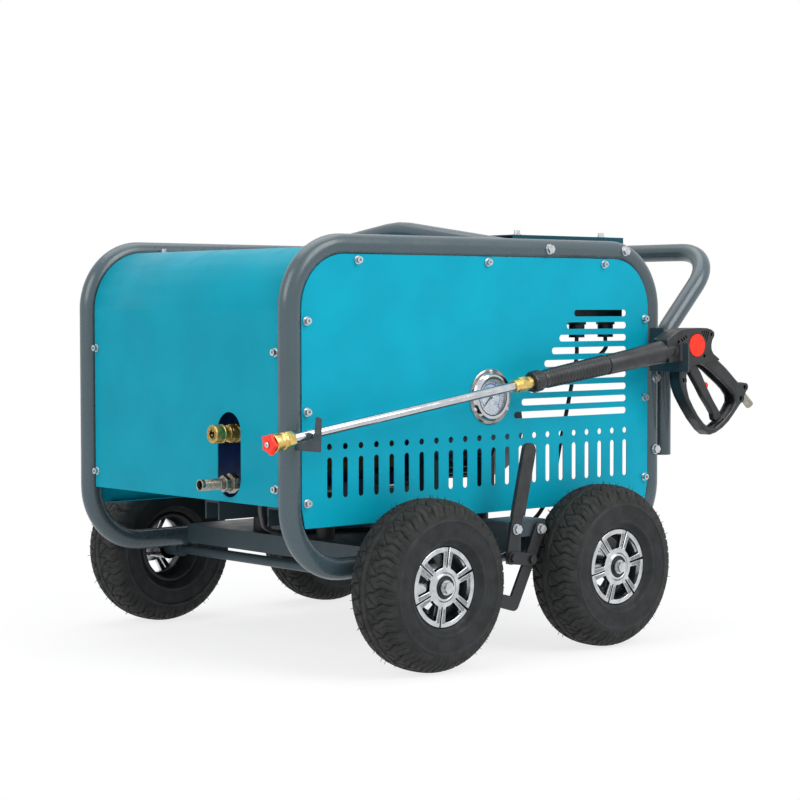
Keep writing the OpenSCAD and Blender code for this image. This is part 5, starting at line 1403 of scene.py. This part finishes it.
class WASHER_OT_gauge(bpy.types.Operator):
    """Prints the gauge's dial, polishes its flange and sets the needle and the flange's three screws"""

    bl_idname = "washer.gauge"
    bl_label = "Gauge"

    def execute(self, context):
        ink_rise = 0.12
        dial_face = GAUGE_Y_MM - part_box("gauge_dial")[0].y * 1000
        mesh = dial_print()
        mesh.transform(GAUGE @ moved(0, 0, dial_face + ink_rise))
        piece("dial_print", mesh, ["ink", "scale"], "machine")
        piece("gauge_flange", flange_mesh(), ["flange", "rubber"], "machine")
        needle = needle_mesh()
        flat_shaded(piece("bold_needle", needle, ["ink"], "gauge_needle", ["gauge_needle"]))
        piece("gauge_screws", flange_screws_mesh(), ["zinc"], "machine")
        return {"FINISHED"}


class WASHER_OT_cables(bpy.types.Operator):
    """Lays the gauge's hose and the two jacketed cables along their routes"""

    bl_idname = "washer.cables"
    bl_label = "Hose and cables"

    def execute(self, context):
        hose = tube("laid_hose", flowing(HOSE_ROUTE), CABLE_R)
        piece("laid_hose", hose, ["rubber"], "machine", ["gauge_hose"])
        runs = [tube("run", flowing(route), CABLE_R) for route in (SWITCH_ROUTE, MOTOR_ROUTE)]
        cables = joined("laid_cables", [(run, Matrix.Identity(4), 0) for run in runs])
        piece("laid_cables", cables, ["rubber"], "machine", ["switch_cable"])
        return {"FINISHED"}


class WASHER_PT_panel(bpy.types.Panel):
    """Lists the sizes and colours, and the operators in the order they are run"""

    bl_idname = "WASHER_PT_panel"
    bl_label = "Pressure washer"
    bl_space_type = "VIEW_3D"
    bl_region_type = "UI"
    bl_category = "Washer"

    def draw(self, context):
        for name in WASHER_PG_finish.__annotations__:
            self.layout.prop(chosen(), name)
        for operator in OPERATORS:
            self.layout.operator(operator.bl_idname)


OPERATORS = [
    WASHER_OT_stage,
    WASHER_OT_solids,
    WASHER_OT_tyres,
    WASHER_OT_rims,
    WASHER_OT_bars,
    WASHER_OT_gun,
    WASHER_OT_fittings,
    WASHER_OT_gauge,
    WASHER_OT_cables,
]
CLASSES = [WASHER_PG_finish] + OPERATORS + [WASHER_PT_panel]


def register():
    for item in CLASSES:
        bpy.utils.register_class(item)
    bpy.types.Scene.washer = bpy.props.PointerProperty(type=WASHER_PG_finish)


def unregister():
    del bpy.types.Scene.washer
    for item in reversed(CLASSES):
        bpy.utils.unregister_class(item)


def main():
    register()
    for operator in OPERATORS:
        group, action = operator.bl_idname.split(".")
        getattr(getattr(bpy.ops, group), action)()


if __name__ == "__main__":
    main()
